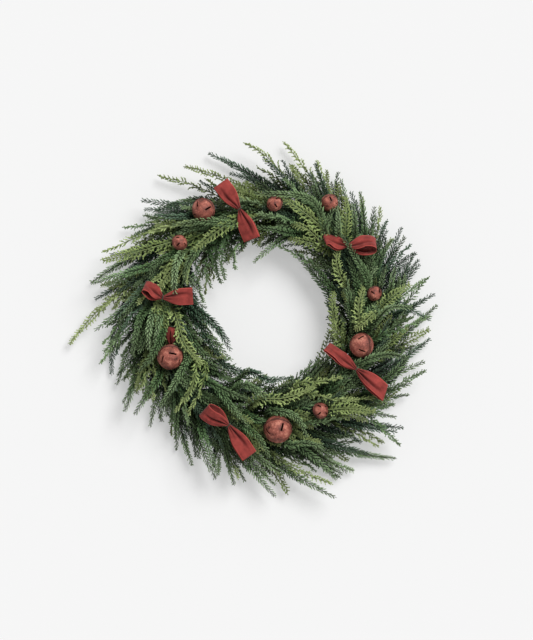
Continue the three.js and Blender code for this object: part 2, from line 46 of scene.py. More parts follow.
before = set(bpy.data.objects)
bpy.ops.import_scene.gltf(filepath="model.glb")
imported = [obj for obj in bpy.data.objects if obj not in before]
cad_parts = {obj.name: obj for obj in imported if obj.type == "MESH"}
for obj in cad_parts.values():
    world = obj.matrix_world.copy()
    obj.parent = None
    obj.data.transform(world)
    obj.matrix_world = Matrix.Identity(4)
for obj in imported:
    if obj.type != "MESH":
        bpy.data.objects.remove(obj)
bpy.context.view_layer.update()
MM = 0.001
RING_LOW, RING_HIGH = (np.array(corner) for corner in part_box("wire_frame"))
RING_CENTRE = Vector(((RING_LOW[0] + RING_HIGH[0]) / 2, (RING_LOW[1] + RING_HIGH[1]) / 2, 0))

# ------------------------------------------------------------------ layout, in millimetres

RAIL_RADIUS, RAIL_SPREAD, RAIL_WIRE, RAIL_RISE, BAR_COUNT = 190, 22, 4, 8, 4
# The rails' thickness and the bars' radius as shares of RAIL_WIRE, and the bars' dip at the middle rail.
RAIL_SHARE, BAR_SHARE, BAR_DIP = 0.86, 0.4, 0.8
BUNCH_COUNT = 28
BUNCH_STEP = 360 / BUNCH_COUNT
BUNDLE_RADIUS, BUNDLE_BACK, BUNDLE_FRONT, CUT_STEM_RADIUS = 4.2, 18, 8, 1.7
BINDING_WIRE = 1.6
CLEAR = 0.35
SIDE_RAIL_Z = RAIL_WIRE / 2 * math.sin(math.pi / 3)
MIDDLE_RAIL_Z = SIDE_RAIL_Z + RAIL_RISE
BUNDLE_Z = MIDDLE_RAIL_Z + RAIL_WIRE / 2 + CLEAR + BUNDLE_RADIUS * math.sin(math.pi / 3)

SPINE_POINTS, SPRAY_GAP, SETTLE_ROUNDS, STEM_ROOM = 15, 13, 70, 5.5
HOLE_CENTRE, HOLE_RADIUS = np.array([12.0, 5.0, 0.0]), 124

OUTER_TIPS = [
    (4, 343), (13, 322), (23, 319), (33, 319), (43, 309), (53, 304), (62, 303),
    (72, 311), (84, 337), (97, 334), (110, 333), (119, 324), (128, 337), (138, 325), (149, 318),
    (160, 332), (171, 343), (180, 322), (190, 383), (198, 330), (207, 318), (216, 331), (226, 312),
    (236, 298), (246, 328), (255, 335), (265, 330), (275, 359), (284, 339), (293, 386), (301, 355),
    (308, 340), (314, 387), (322, 353), (332, 328), (342, 334), (353, 331),
]
OUTER_AHEAD, OUTER_LAUNCH, OUTER_RISE, OUTER_HEIGHTS = 38, 30, 16, (14, 46)
CROWN_COUNT, CROWN_AHEAD, CROWN_LAUNCH, CROWN_REACH, CROWN_RISE = 30, (36, 46), 6, 60, 96
CROWN_RADII, CROWN_HEIGHTS = (268, 200, 234), (66, 88, 82)
INNER_COUNT, INNER_AHEAD, INNER_LAUNCH, INNER_REACH, INNER_RISE = 24, (44, 38), -33, 52, 46
INNER_INSET, INNER_HEIGHTS = (0, 14), (24, 60)
BACKING_LAUNCHES, BACKING_REACH = (-30, -8, 14, 34), (88, 118)
BUNCH_GREENS = "pdcpdpcppcpdppcppdpcppcpdcpp"
GREEN_NAMES = {"p": "pine", "d": "dark_fir", "c": "cedar"}

# What each outer tip looks like, in the order of OUTER_TIPS, and the mix inside each kind of bunch.
OUTER_LOOKS = "pfddyppdyydyydfypyyfppppppppdpfdpdpfd"
SPRAY_LOOKS = {
    "p": ("round", "p"), "d": ("round", "d"), "f": ("feather", "p"), "k": ("feather", "d"),
    "c": ("frond", "c"), "y": ("feather", "c"),
}
# The sprays that lie uppermost: look, shade, height, then start, middle and tip.
TOP_SPRAYS = [
    ("p", 0.85, 96, (-45, 170), (-109, 176), (-175, 167)),
    ("c", 0.75, 97, (-45, 182), (-81, 160), (-131, 121)),
    ("p", 0.80, 95, (-125, 122), (-143, 94), (-149, 54)),
    ("p", 0.95, 101, (-155, 114), (-167, 74), (-167, 35)),
    ("p", 0.45, 94, (-169, 114), (-205, 94), (-215, 63)),
    ("c", 0.90, 97, (-161, 98), (-183, 68), (-199, 46)),
    ("f", 0.45, 82, (-69, 150), (-79, 108), (-72, 65)),
    ("f", 0.60, 80, (-41, 138), (-55, 114), (-53, 85)),
    ("f", 0.40, 78, (-105, 106), (-109, 74), (-98, 50)),
    ("c", 0.80, 84, (-169, 138), (-237, 118), (-305, 101)),
    ("p", 0.55, 80, (-217, 90), (-269, 74), (-329, 58)),
    ("p", 0.95, 96, (121, 149), (91, 217), (-21, 230)),
    ("c", 0.85, 97, (117, 158), (74, 195), (29, 226)),
    ("p", 0.70, 99, (115, 145), (124, 178), (135, 207)),
    ("p", 0.80, 99, (145, 145), (143, 174), (138, 206)),
    ("c", 0.70, 92, (156, 149), (158, 187), (156, 222)),
    ("p", 0.75, 88, (175, 158), (172, 191), (171, 211)),
    ("p", 0.70, 102, (200, 59), (178, 102), (149, 149)),
    ("c", 0.90, 95, (153, 61), (139, 96), (143, 123)),
    ("p", 0.50, 93, (181, 42), (172, 79), (161, 108)),
    ("p", 0.85, 95, (198, 47), (204, 75), (217, 89)),
    ("p", 0.75, 95, (221, 47), (226, 71), (232, 92)),
    ("p", 0.70, 93, (239, 42), (244, 67), (253, 90)),
    ("c", 1.00, 99, (183, -13), (181, 18), (190, 51)),
    ("p", 0.95, 97, (216, -11), (241, 12), (285, 12)),
    ("c", 0.80, 90, (226, 16), (253, 40), (279, 56)),
    ("p", 0.65, 66, (58, 149), (16, 128), (-19, 96)),
    ("c", 0.90, 92, (113, 135), (83, 161), (55, 172)),
    ("c", 0.70, 82, (117, 125), (83, 136), (49, 143)),
    ("f", 0.35, 90, (62, 175), (27, 184), (-10, 191)),
    ("p", 0.35, 88, (58, 153), (19, 161), (-16, 165)),
    ("p", 0.45, 60, (148, 32), (117, 67), (98, 106)),
    ("c", 0.75, 84, (138, -15), (132, 16), (135, 42)),
    ("p", 0.45, 92, (167, 14), (161, 42), (158, 67)),
    ("c", 0.95, 96, (212, 1), (191, -17), (173, -29)),
    ("p", 0.80, 96, (177, -95), (231, -77), (277, -84)),
    ("f", 0.55, 88, (218, -44), (263, -27), (317, -4)),
    ("y", 0.85, 92, (62, -134), (109, -127), (149, -119)),
    ("c", 1.00, 98, (-4, -161), (43, -159), (100, -136)),
    ("y", 0.85, 97, (84, -150), (128, -161), (181, -162)),
    ("c", 0.80, 93, (119, -181), (161, -178), (212, -185)),
    ("p", 0.75, 95, (-41, -134), (0, -151), (21, -170)),
    ("p", 0.80, 97, (25, -184), (64, -196), (84, -236)),
    ("p", 0.60, 92, (43, -244), (78, -244), (116, -250)),
    ("p", 0.50, 95, (-29, -217), (-6, -237), (13, -273)),
    ("d", 0.50, 70, (-33, -112), (12, -125), (60, -119)),
    ("f", 0.25, 62, (51, -137), (83, -107), (117, -86)),
    ("c", 0.70, 80, (140, -38), (134, -23), (131, -9)),
    ("p", 0.50, 96, (-188, -31), (-209, -79), (-238, -110)),
    ("p", 0.85, 94, (-208, 2), (-216, -31), (-217, -69)),
    ("p", 0.60, 90, (-227, 2), (-240, -37), (-247, -75)),
    ("p", 0.70, 92, (-193, 0), (-200, -28), (-206, -61)),
    ("c", 0.95, 99, (-163, -8), (-149, -53), (-116, -95)),
    ("d", 0.60, 74, (-129, 2), (-89, -27), (-60, -72)),
    ("d", 0.55, 78, (-127, 12), (-92, -16), (-62, -56)),
    ("p", 0.40, 58, (-130, -5), (-95, -50), (-58, -92)),
    ("p", 0.70, 94, (-143, -75), (-163, -125), (-197, -178)),
    ("y", 0.70, 92, (-127, -87), (-136, -141), (-167, -185)),
    ("y", 0.60, 88, (-111, -95), (-120, -147), (-145, -197)),
    ("p", 0.35, 84, (-197, -117), (-219, -151), (-245, -193)),
    ("p", 0.40, 94, (-109, -127), (-77, -142), (-29, -163)),
    ("p", 0.30, 92, (-99, -131), (-63, -171), (-28, -217)),
    ("p", 0.35, 86, (-117, -217), (-105, -249), (-85, -309)),
    ("p", 0.45, 52, (138, -12), (120, 46), (56, 126)),
    ("f", 0.40, 58, (131, 46), (98, 92), (30, 130)),
    ("d", 0.55, 60, (-139, 8), (-110, -42), (-68, -99)),
    ("p", 0.35, 54, (-148, -11), (-126, -62), (-76, -104)),
    ("d", 0.45, 48, (-112, -62), (-62, -104), (-2, -112)),
    ("f", 0.30, 50, (-108, -96), (-70, -122), (-20, -122)),
    ("f", 0.45, 66, (-84, 140), (-92, 100), (-80, 58)),
    ("f", 0.35, 60, (-128, 112), (-126, 66), (-114, 22)),
    ("d", 0.60, 56, (232, -11), (279, 11), (329, 40)),
    ("f", 0.55, 60, (213, 8), (257, 30), (306, 64)),
    ("k", 0.60, 58, (207, 55), (241, 93), (281, 132)),
    ("d", 0.55, 52, (146, -201), (200, -217), (258, -226)),
    ("f", 0.55, 58, (165, -179), (207, -184), (250, -170)),
    ("p", 0.60, 46, (45, -236), (92, -270), (142, -318)),
    ("p", 0.55, 60, (-232, 24), (-276, 2), (-322, -34)),
    ("f", 0.50, 52, (-238, -6), (-270, -34), (-304, -72)),
    ("p", 0.50, 54, (108, 122), (72, 134), (36, 130)),
    ("d", 0.55, 50, (226, 28), (268, 16), (322, -14)),
    ("f", 0.55, 54, (160, -174), (206, -200), (262, -250)),
    ("p", 0.50, 56, (-214, -96), (-246, -136), (-268, -172)),
    ("p", 0.60, 60, (172, -170), (212, -188), (256, -196)),
    ("d", 0.60, 52, (66, 226), (30, 268), (-2, 300)),
]
# Stems stay below the first height. Top sprays above the second cross over a bow. Nothing passes the last.
TOP_STEM_HEIGHT, OVER_BOW_HEIGHT, FOLIAGE_TOP = 84, 100, 109
LOW_STEM_HEIGHT, LEAST_HEIGHT = 10, 0.6
# How far the mass of foliage reaches outward and inward, every 15 degrees from +X.
MASS_REACHES = [
    290, 292, 295, 292, 290, 286, 250, 250, 258, 278, 282, 290,
    288, 290, 292, 276, 294, 300, 306, 322, 315, 310, 298, 290,
]
HOLE_REACHES = [
    124, 132, 126, 130, 132, 127, 124, 135, 114, 106, 118, 115,
    107, 97, 94, 96, 107, 106, 115, 124, 140, 136, 135, 126,
]
WIDEST_MASS = 300
TIP_GREENS = {"p": (0.45, 0.60, 0.31), "d": (0.27, 0.40, 0.26), "c": (0.63, 0.75, 0.32)}
BUNCH_LOOKS = {"p": "ppppppfffdcy", "d": "dddddkkppfdp", "c": "cccyyyffppcy"}
FROND_ROLL, FREE_ROLL = 0.8, 6.28

# How sprays are pushed apart: from each other, off the decorations, at most how far at a time, back
# towards where they were laid, and how strongly each path is evened out.
PUSH_APART, PUSH_OFF, LONGEST_PUSH, PULL_BACK, EVEN_OUT = 0.35, 0.6, 3, 0.04, 0.3
# Finer sprays lie closer: their gap, how they are pushed apart, and the rounds of it.
CLOSE_GAP, CLOSE_PUSH, LONGEST_CLOSE_PUSH, CLOSE_ROUNDS = 11.5, 0.3, 2.5, 4
# Room beneath a bell or bow. Obstacles thinner than WIRE_BALL are wire, and needles may lie round those.
DIP_ROOM, WIRE_BALL = 6, 5

# Bells: centre, diameter, the way the slotted end faces.
BELLS = [
    ((-113, 198, 80), 43, (-0.3, -0.3, 0.9)),
    ((-158, 135.5, 84), 28, (0.35, 0.3, 0.88)),
    ((22, 209.5, 82), 29, (-0.3, 0.35, 0.88)),
    ((126, 211, 80), 32, (0.35, -0.35, 0.86)),
    ((211.5, 39, 84), 27, (0.4, -0.3, 0.86)),
    ((187, -59.5, 82), 46, (-0.72, 0.05, 0.7)),
    ((-176, -81.5, 82), 48, (0.08, -0.45, 0.88)),
    ((28, -218.5, 80), 53, (0, -0.64, 0.77)),
    ((109, -183, 84), 29, (0.4, 0.15, 0.9)),
]
BELL_WALL, BELL_RIM, BELL_SLOTS, LOOP_OFFSET, LOOP_RING, LOOP_WIRE = 1.2, 1, 4, 1.6, 2.5, 1.6
# The seam's line, from the loop's side to its middle: how far out of the wall, and how far along.
SEAM_LINE = [(0.0, -2.4), (-0.35, -1.9), (0.75, -1.4), (BELL_RIM + 0.2, -0.7), (0.2, 0.0)]
SEAM_HALF, DENT_DEPTH = 2.8, 0.3
# Each bell's slots, in degrees: how far they are turned about its axis, how far each is turned about
# itself, and how far they lie from the seam.
BELL_SPINS = [
    (40, 0, 40), (-45, 0, 42), (0, 0, 42), (0, 0, 40), (0, 0, 42), (31, 0, 36), (8, 90, 46), (12, 0, 36),
    (-30, 0, 42),
]

# Bows: the pinched middle and the ends of the two loops.
BOWS = [
    ((-44.5, 198.5, 96), ((-80.5, 247.5, 93), (-21, 141.5, 88))),
    ((160, 128.5, 96), ((110, 143.5, 96), (214, 131, 96))),
    ((-189.5, 30.5, 96), ((-227, 53, 94), (-133, 34, 94))),
    ((176.5, -104.5, 96), ((120.5, -62, 93), (227.5, -147, 91))),
    ((-65, -210.5, 96), ((-108.5, -182.5, 94), (-26, -269, 87))),
]
RIBBON_WIDTH, KNOT_WIDTH, KNOT_DEPTH = 32, 9, 6
RIBBON_STATIONS, RIBBON_CROSS, RIBBON_THICKNESS, SELVEDGE = 112, 24, 0.6, 1.4
WAIST, PLEAT_DEPTH, CREASE_DEPTH, CRUMPLE, ARCH = 5.0, 2.3, 5.6, 1.6, 1.3
# Each bow's two loops: how far they swell open, their roll in degrees, the slant of the fold and
# where the crease runs.
BOW_LOOPS = [
    ((7, 10, 0, 0.45), (7, -14, 0, -0.35)),
    ((5, 58, 0.25, 0.1), (26, 50, 0, 0.2)),
    ((14, 54, 0.1, 0.1), (8, 0, 0, -0.3)),
    ((4, 56, 0, 0.1), (9, 24, -0.15, 0.3)),
    ((22, -32, -0.1, 0.2), (8, 10, 0, -0.3)),
]
# The obstacles that stand for a ribbon are thinner than this, and only this high.
RIBBON_BALL, RIBBON_ROOM = 12, 5.2
BELL_RIBBON_KNOT, BELL_RIBBON_END, BELL_RIBBON_WIDTH = (-171, -24, 74), (-174, -47, 84), 18
# The tab behind the bell on the left: pinched beneath the bell, with its open end up.
BELL_RIBBON_TAB = ((-175, -58, 64), ((-171, -27, 80), (-176, -68, 60)), ((14, -38, 0, 0), (4, 0, 0, 0)))

# ------------------------------------------------------------------ stage, in metres

CAMERA_HEIGHT, SCALE_HEIGHT, VIEW_HEIGHT = 6.0, 0.07, 1.216
CAMERA_AT, CAMERA_FILM = (0.0233, -0.0002), 24
FLOOR_SIZE, FLOOR_SHADE, FLOOR_GLOW = 6, 0.51, 0.366
SKY_STRENGTH, KEY_STRENGTH, KEY_SOFTNESS, KEY_FROM = 0.37, 2.95, 32, (1.2, 1.5, 2.3)


def chance(index, draw):
    """A repeatable number from 0 to 1 for each pair of indices."""
    wave = math.sin(index * 12.9898 + draw * 78.233) * 43758.5453
    return wave - math.floor(wave)


def between(low, high, share):
    return low + (high - low) * share


def polar(angle, radius, z=0.0):
    turn = math.radians(angle)
    return np.array([radius * math.cos(turn), radius * math.sin(turn), z])


def unit(v):
    v = np.asarray(v, float)
    return v / np.linalg.norm(v)


def placed(points):
    """Millimetres from the ring's centre to metres in the row frame."""
    return np.asarray(points, float) * MM + np.array(RING_CENTRE)


def binding_round(bunch):
    """One turn of the binding round the middle rail and a bundle."""
    wire = BINDING_WIRE / 2
    side = BUNDLE_RADIUS + CLEAR + wire + 1
    top = BUNDLE_Z + BUNDLE_RADIUS + CLEAR + wire
    low = MIDDLE_RAIL_Z - RAIL_WIRE / 2 - CLEAR - wire
    link = MIDDLE_RAIL_Z + 2
    turn = [
        (-side - 0.5, link, -6), (-side * 0.62, top, -0.8), (side * 0.62, top, 0.8),
        (side + 0.8, link, 2.6), (0, low - 1.9, 4.2), (-side - 0.5, link, 6.5),
    ]
    return [
        polar(bunch * BUNCH_STEP + math.degrees(ahead / RAIL_RADIUS), RAIL_RADIUS + out, height)
        for out, height, ahead in turn
    ]


def tie_foot(at):
    bunch = math.floor(math.degrees(math.atan2(at[1], at[0])) / BUNCH_STEP)
    return (binding_round(bunch)[-1] + binding_round(bunch + 1)[0]) / 2


def bell_axes(bell):
    """A bell's centre, its axis towards the slots, its loop's middle and the level way through it."""
    at, diameter, faces = bell
    centre, axis = np.array(at, float), unit(faces)
    through = unit(np.cross(axis, (at[0], at[1], 0)))
    return centre, axis, centre - axis * (diameter / 2 + LOOP_OFFSET), through


def waist_tie(knot, first, second):
    """A wire that comes up from the binding and hooks over a bow's waist."""
    middle = np.array(knot, float)
    along = unit((second[0] - first[0], second[1] - first[1], 0))
    across = np.array([-along[1], along[0], 0])
    half = KNOT_WIDTH / 2 + 2 * CLEAR + BINDING_WIRE / 2
    high = KNOT_DEPTH / 2 + 2 * CLEAR + BINDING_WIRE / 2
    turn = [
        (0, -high - 0.6, -1.2), (half, -high * 0.6, -1.2), (half, high * 0.6, -0.6),
        (half * 0.45, high, -0.2), (-half * 0.45, high, 0.2), (-half, high * 0.6, 0.6),
        (-half, -high * 0.6, 1.2),
    ]
    points = [middle + across * side + along * ahead + (0, 0, up) for side, up, ahead in turn]
    return [tie_foot(points[0]), *points]


def tie_paths():
    paths = []
    for bell in BELLS:
        _, axis, middle, through = bell_axes(bell)
        foot = tie_foot(middle)
        sides = [middle - axis * 0.7 + through * d for d in (-4, 4)]
        sides.sort(key=lambda p: np.linalg.norm(p - foot))
        paths.append([foot, *sides])
    for knot, ends in BOWS:
        paths.append(waist_tie(knot, *ends))
    paths.append(waist_tie(BELL_RIBBON_KNOT, BELL_RIBBON_KNOT, BELL_RIBBON_END))
    return paths


def obstacles():
    """Balls that the sprays keep clear of: rows of x, y, z, radius."""
    balls = []
    for bell in BELLS:
        centre, _, middle, _ = bell_axes(bell)
        balls += [(*centre, bell[1] / 2 + BELL_RIM), (*middle, 4)]
    for knot, ends in BOWS:
        middle = np.array(knot, float)
        balls.append((*middle, KNOT_WIDTH))
        for end in ends:
            along = np.array(end, float) - middle
            across = unit((-along[1], along[0], 0))
            for share in (0.3, 0.55, 0.8, 1):
                for side in (-1, 1):
                    offset = side * RIBBON_WIDTH * 0.27 * min(1, share + 0.15)
                    balls.append((*(middle + along * share + across * offset), 9.5))
    for path in tie_paths():
        for a, b in zip(path, path[1:]):
            steps = math.ceil(np.linalg.norm(b - a) / 4)
            balls += [(*(a + (b - a) * s / steps), 2.6) for s in range(steps + 1)]
    start, finish = np.array(BELL_RIBBON_KNOT, float), np.array(BELL_RIBBON_END, float)
    for share in (0, 0.3, 0.6, 0.9):
        balls.append((*(start + (finish - start) * share), between(6, 11, share)))
    return np.array(balls, float)


def lengths_along(path):
    """How far each point of a path is from its start."""
    steps = np.linalg.norm(np.diff(path, axis=0), axis=1)
    return np.concatenate([[0], np.cumsum(steps)])


def sampled(rows, along, stops):
    """Rows of three numbers, read at each stop along a path."""
    return np.stack([np.interp(stops, along, rows[:, i]) for i in range(3)], axis=1)


def spaced(curve, count):
    """Points evenly spaced along a fine polyline."""
    along = lengths_along(curve)
    return sampled(curve, along, np.linspace(0, along[-1], count))


def unevenness(path):
    """How far each inner point of a path, or of many paths, lies from midway between its neighbours."""
    return (path[..., :-2, :] + path[..., 2:, :]) / 2 - path[..., 1:-1, :]


def spray_curve(bunch, control, tip):
    start = polar(bunch * BUNCH_STEP + 1.2, RAIL_RADIUS, BUNDLE_Z)
    t = np.linspace(0, 1, 201)[:, None]
    curve = (1 - t) ** 2 * start + 2 * t * (1 - t) * control + t**2 * tip
    return spaced(curve, SPINE_POINTS)


def launch_point(bunch, launch, reach, z):
    base = polar(bunch * BUNCH_STEP, RAIL_RADIUS)
    return base + polar(bunch * BUNCH_STEP + 90 - launch, reach, z)


def half_up(value):
    return math.floor(value + 0.5)


def outer_sprays():
    for i, (angle, radius) in enumerate(OUTER_TIPS):
        ahead = OUTER_AHEAD + (radius - 320) * 0.2
        bunch = (half_up((angle - ahead) / BUNCH_STEP) + BUNCH_COUNT) % BUNCH_COUNT
        tip = polar(angle, radius, OUTER_HEIGHTS[i % 2] + 6 * chance(i, 1))
        base = polar(bunch * BUNCH_STEP, RAIL_RADIUS)
        reach = 0.5 * math.hypot(tip[0] - base[0], tip[1] - base[1])
        launch = OUTER_LAUNCH + between(-7, 7, chance(i, 2))
        control = launch_point(bunch, launch, reach, BUNDLE_Z + OUTER_RISE + tip[2] * 0.35)
        yield "outer", bunch, spray_curve(bunch, control, tip)


def crown_sprays():
    for i in range(CROWN_COUNT):
        bunch = half_up(i * BUNCH_COUNT / CROWN_COUNT) % BUNCH_COUNT
        angle = i * 360 / CROWN_COUNT + between(*CROWN_AHEAD, chance(i, 3))
        radius = CROWN_RADII[i % 3] + between(-8, 8, chance(i, 4))
        tip = polar(angle, radius, CROWN_HEIGHTS[i % 3] + between(-4, 4, chance(i, 5)))
        launch = CROWN_LAUNCH + (radius - RAIL_RADIUS) * 0.18
        yield "crown", bunch, spray_curve(bunch, launch_point(bunch, launch, CROWN_REACH, CROWN_RISE), tip)


def inner_sprays():
    for i in range(INNER_COUNT):
        bunch = half_up(i * BUNCH_COUNT / INNER_COUNT) % BUNCH_COUNT
        level = i % 2
        angle = i * 360 / INNER_COUNT + INNER_AHEAD[level] + between(-3, 3, chance(i, 6))
        radius = HOLE_RADIUS + INNER_INSET[level] + between(-3, 5, chance(i, 7))
        tip = polar(angle, radius, INNER_HEIGHTS[level] + 5 * chance(i, 8)) + HOLE_CENTRE
        control = launch_point(bunch, INNER_LAUNCH, INNER_REACH, INNER_RISE)
        yield "inner", bunch, spray_curve(bunch, control, tip)


def backing_sprays():
    """Short low sprays under each bunch's main ones, fanned out to both sides."""
    for bunch in range(BUNCH_COUNT):
        for k, launch in enumerate(BACKING_LAUNCHES):
            turn = launch + between(-8, 8, chance(bunch * 3 + k, 95))
            tip = launch_point(bunch, turn, between(*BACKING_REACH, chance(bunch * 3 + k, 96)), 20)
            yield bunch, spray_curve(bunch, launch_point(bunch, turn, 50, 30), tip)


def settle(paths, balls):
    """Sprays that come too near each other or a decoration push each other aside."""
    laid = paths.copy()
    count, ends = len(paths), SPINE_POINTS - 1
    hold = np.minimum(1, np.arange(SPINE_POINTS) / ends * 1.8)[None, :, None]
    free = math.ceil(SPINE_POINTS * 0.2)
    loose = SPINE_POINTS - free
    owner = np.repeat(np.arange(count), loose)
    strangers = owner[:, None] != owner[None, :]
    floor = np.where(np.arange(SPINE_POINTS) > 3, 13.0, 11.0)
    for _ in range(SETTLE_ROUNDS):
        push = np.zeros_like(paths)
        points = paths[:, free:].reshape(-1, 3)
        away = points[:, None] - points[None]
        apart = np.linalg.norm(away, axis=2)
        near = strangers & (apart < SPRAY_GAP)
        force = np.where(near, PUSH_APART * (SPRAY_GAP - apart) / (apart + 0.01), 0)
        push[:, free:] = np.einsum("ij,ijk->ik", force, away).reshape(count, loose, 3)
        away = paths[:, 1:, None] - balls[None, None, :, :3]
        apart = np.linalg.norm(away, axis=3)
        room = balls[:, 3] + SPRAY_GAP / 2
        force = np.where(apart < room, PUSH_OFF * (room - apart) / (apart + 0.01), 0)
        push[:, 1:] += np.einsum("ijb,ijbk->ijk", force, away)
        size = np.linalg.norm(push, axis=2, keepdims=True)
        paths += push * np.minimum(1, LONGEST_PUSH / np.maximum(size, 1e-9)) * hold
        paths += PULL_BACK * (laid - paths)
        paths[:, :, 2] = np.maximum(paths[:, :, 2], floor)
        for k in range(1, ends):
            paths[:, k] += EVEN_OUT * ((paths[:, k - 1] + paths[:, k + 1]) / 2 - paths[:, k])
        keep_off(paths, balls, STEM_ROOM)
    return paths


def keep_off(paths, balls, room):
    """Moves path points that lie within `room` of a ball out to that distance."""
    for ball in balls:
        away = paths[:, 1:] - ball[:3]
        apart = np.linalg.norm(away, axis=2, keepdims=True)
        moved = ball[:3] + away * (ball[3] + room) / np.maximum(apart, 1e-9)
        paths[:, 1:] = np.where(apart < ball[3] + room, moved, paths[:, 1:])


# ------------------------------------------------------------------ settings


def length_setting(name, use, default):
    return FloatProperty(name=name, description=use, default=default, unit="LENGTH")


def colour_setting(name, use, default):
    return FloatVectorProperty(name=name, description=use, default=default, subtype="COLOR")


class WreathFoliage(bpy.types.PropertyGroup):
    """Sizes of the sprays and their needles."""

    needle_length: length_setting("Needle length", "Longest needle of a round spray", 0.0132)
    needle_width: length_setting("Needle width", "Needle width at its widest", 0.0029)
    needle_step: length_setting("Whorl step", "Distance along the stem between whorls of needles", 0.0029)
    frond_width: length_setting("Frond twig", "Longest side twig of a flat frond", 0.019)
    side_sprays: IntProperty(
        name="Side sprays", description="Finer sprays that grow beside each main one", default=6, min=0, max=8
    )


class WreathColours(bpy.types.PropertyGroup):
    """Colours of the materials, in linear light."""

    pine: colour_setting("Pine", "Needles of the pine bunches", (0.158, 0.290, 0.118))
    dark_fir: colour_setting("Dark fir", "Needles of the dark bunches", (0.094, 0.180, 0.108))
    cedar: colour_setting("Cedar", "Flat cedar fronds", (0.310, 0.430, 0.138))
    bark: colour_setting("Bark", "Cut stems", (0.090, 0.060, 0.035))
    rust: colour_setting("Rust", "Main colour of the bells", (0.350, 0.104, 0.075))
    ribbon: colour_setting("Ribbon", "Cloth of the bows", (0.290, 0.048, 0.040))
    wire: colour_setting("Wire", "Lacquer on the wires", (0.025, 0.045, 0.025))


# ------------------------------------------------------------------ materials


def scaled(colour, factor):
    return tuple(min(1.0, c * factor) for c in colour)


def towards(colour, other, share):
    return tuple(between(c, o, share) for c, o in zip(colour, other))


class Surface:
    """A material in the making: its nodes, and short ways to add more of them."""

    def __init__(self, name):
        self.material = bpy.data.materials.new(name)
        self.material.use_nodes = True
        self.nodes, self.links = self.material.node_tree.nodes, self.material.node_tree.links

    def feed(self, socket, value):
        """Gives a socket another node's output, a colour or a number."""
        if isinstance(value, bpy.types.NodeSocket):
            self.links.new(value, socket)
        elif hasattr(value, "__len__"):
            socket.default_value = (*value, 1)
        else:
            socket.default_value = value

    def add(self, kind, **inputs):
        """A new node with these inputs, whose names have _ for a space."""
        node = self.nodes.new(f"ShaderNode{kind}")
        for name, value in inputs.items():
            self.feed(node.inputs[name.replace("_", " ")], value)
        return node

    def attribute(self, name, output="Fac"):
        node = self.add("Attribute")
        node.attribute_name = name
        return node.outputs[output]

    def noise(self, scale, detail=3.0, roughness=0.55):
        place = self.add("TexCoord").outputs["Object"]
        inputs = {"Scale": scale, "Detail": detail, "Roughness": roughness, "Vector": place}
        return self.add("TexNoise", **inputs).outputs["Fac"]

    def ramp(self, value, stops):
        """Runs from stop to stop, each a place from 0 to 1 and a colour or a number."""
        node = self.add("ValToRGB", Fac=value)
        elements = node.color_ramp.elements
        while len(elements) < len(stops):
            elements.new(0.5)
        for element, (position, colour) in zip(elements, stops):
            element.position = position
            element.color = (*colour, 1) if hasattr(colour, "__len__") else (colour, colour, colour, 1)
        return node.outputs["Color"]

    def mix(self, factor, first, second, blend="MIX"):
        node = self.add("Mix")
        node.data_type, node.blend_type = "RGBA", blend
        for name, value in (("Factor", factor), ("A", first), ("B", second)):
            self.feed(node.inputs[name], value)
        return node.outputs["Result"]

    def times(self, first, second):
        return self.mix(1.0, first, second, "MULTIPLY")

    def with_painted_groove_shade(self, colour, deepest):
        """The colour, darkened by painted shade where the mesh's groove shade value is high, in seams and
        folds.
        """
        return self.times(colour, self.ramp(self.attribute("groove"), [(0.0, 1.0), (1.0, deepest)]))

    def bump(self, height, distance, strength=0.5):
        return self.add("Bump", Strength=strength, Distance=distance, Height=height).outputs["Normal"]

    def finished(self, **inputs):
        """The material, once its shader has these inputs, whose names have _ for a space."""
        for name, value in inputs.items():
            self.feed(self.nodes["Principled BSDF"].inputs[name.replace("_", " ")], value)
        return self.material


def foliage_material(name, colour, tip_colour):
    """Green with painted shade near the stem and low in the wreath, paler at each needle's point and lighter
    at each spray's tip.
    """
    surface = Surface(name)
    tone = surface.add("SeparateColor", Color=surface.attribute("tone", "Color"))
    shade, along, out = (tone.outputs[part] for part in ("Red", "Green", "Blue"))
    paler = towards(colour, tip_colour, 0.5)
    green = surface.ramp(shade, [(0.0, scaled(colour, 0.42)), (0.5, colour), (1.0, paler)])
    green = surface.mix(surface.ramp(along, [(0.5, 0.0), (1.0, 0.6)]), green, tip_colour)
    # Painted shade near the stem, where the needles crowd, lifting to paler needle points.
    green = surface.times(green, surface.ramp(out, [(0.08, 0.06), (0.45, 0.58), (0.9, 1.0)]))
    # Painted shade: the lower a needle lies in the wreath, the darker it is, less so near the spray tips.
    axes = surface.add("SeparateXYZ", Vector=surface.add("TexCoord").outputs["Object"])
    height = surface.add("MapRange", From_Min=0.02, From_Max=0.085, Value=axes.outputs["Z"]).outputs["Result"]
    low = surface.ramp(height, [(0.0, 0.24), (1.0, 1.0)])
    near_tip = surface.ramp(along, [(0.55, 0.0), (0.85, 0.85)])
    green = surface.times(green, surface.mix(near_tip, low, (1, 1, 1)))
    green = surface.times(green, surface.ramp(surface.noise(38, 2), [(0.3, 0.72), (0.7, 1.0)]))
    wax = surface.ramp(surface.noise(300, 1), [(0.3, 0.42), (0.7, 0.62)])
    return surface.finished(Base_Color=green, Roughness=wax, Specular_IOR_Level=0.18)


def bark_material(colour):
    surface = Surface("bark")
    grain = surface.noise(500, 4)
    bark = surface.ramp(grain, [(0.3, scaled(colour, 0.6)), (0.7, scaled(colour, 1.6))])
    return surface.finished(Base_Color=bark, Roughness=0.8, Normal=surface.bump(grain, 0.0004))


def wire_material(colour, name, roughness):
    surface = Surface(name)
    worn = surface.noise(160, 4)
    lacquer = surface.ramp(worn, [(0.45, colour), (0.75, scaled(colour, 2.2))])
    sheen = surface.ramp(worn, [(0.3, roughness), (0.8, roughness + 0.25)])
    bump = surface.bump(worn, 0.0001)
    return surface.finished(Base_Color=lacquer, Roughness=sheen, Coat_Weight=0.3, Normal=bump)


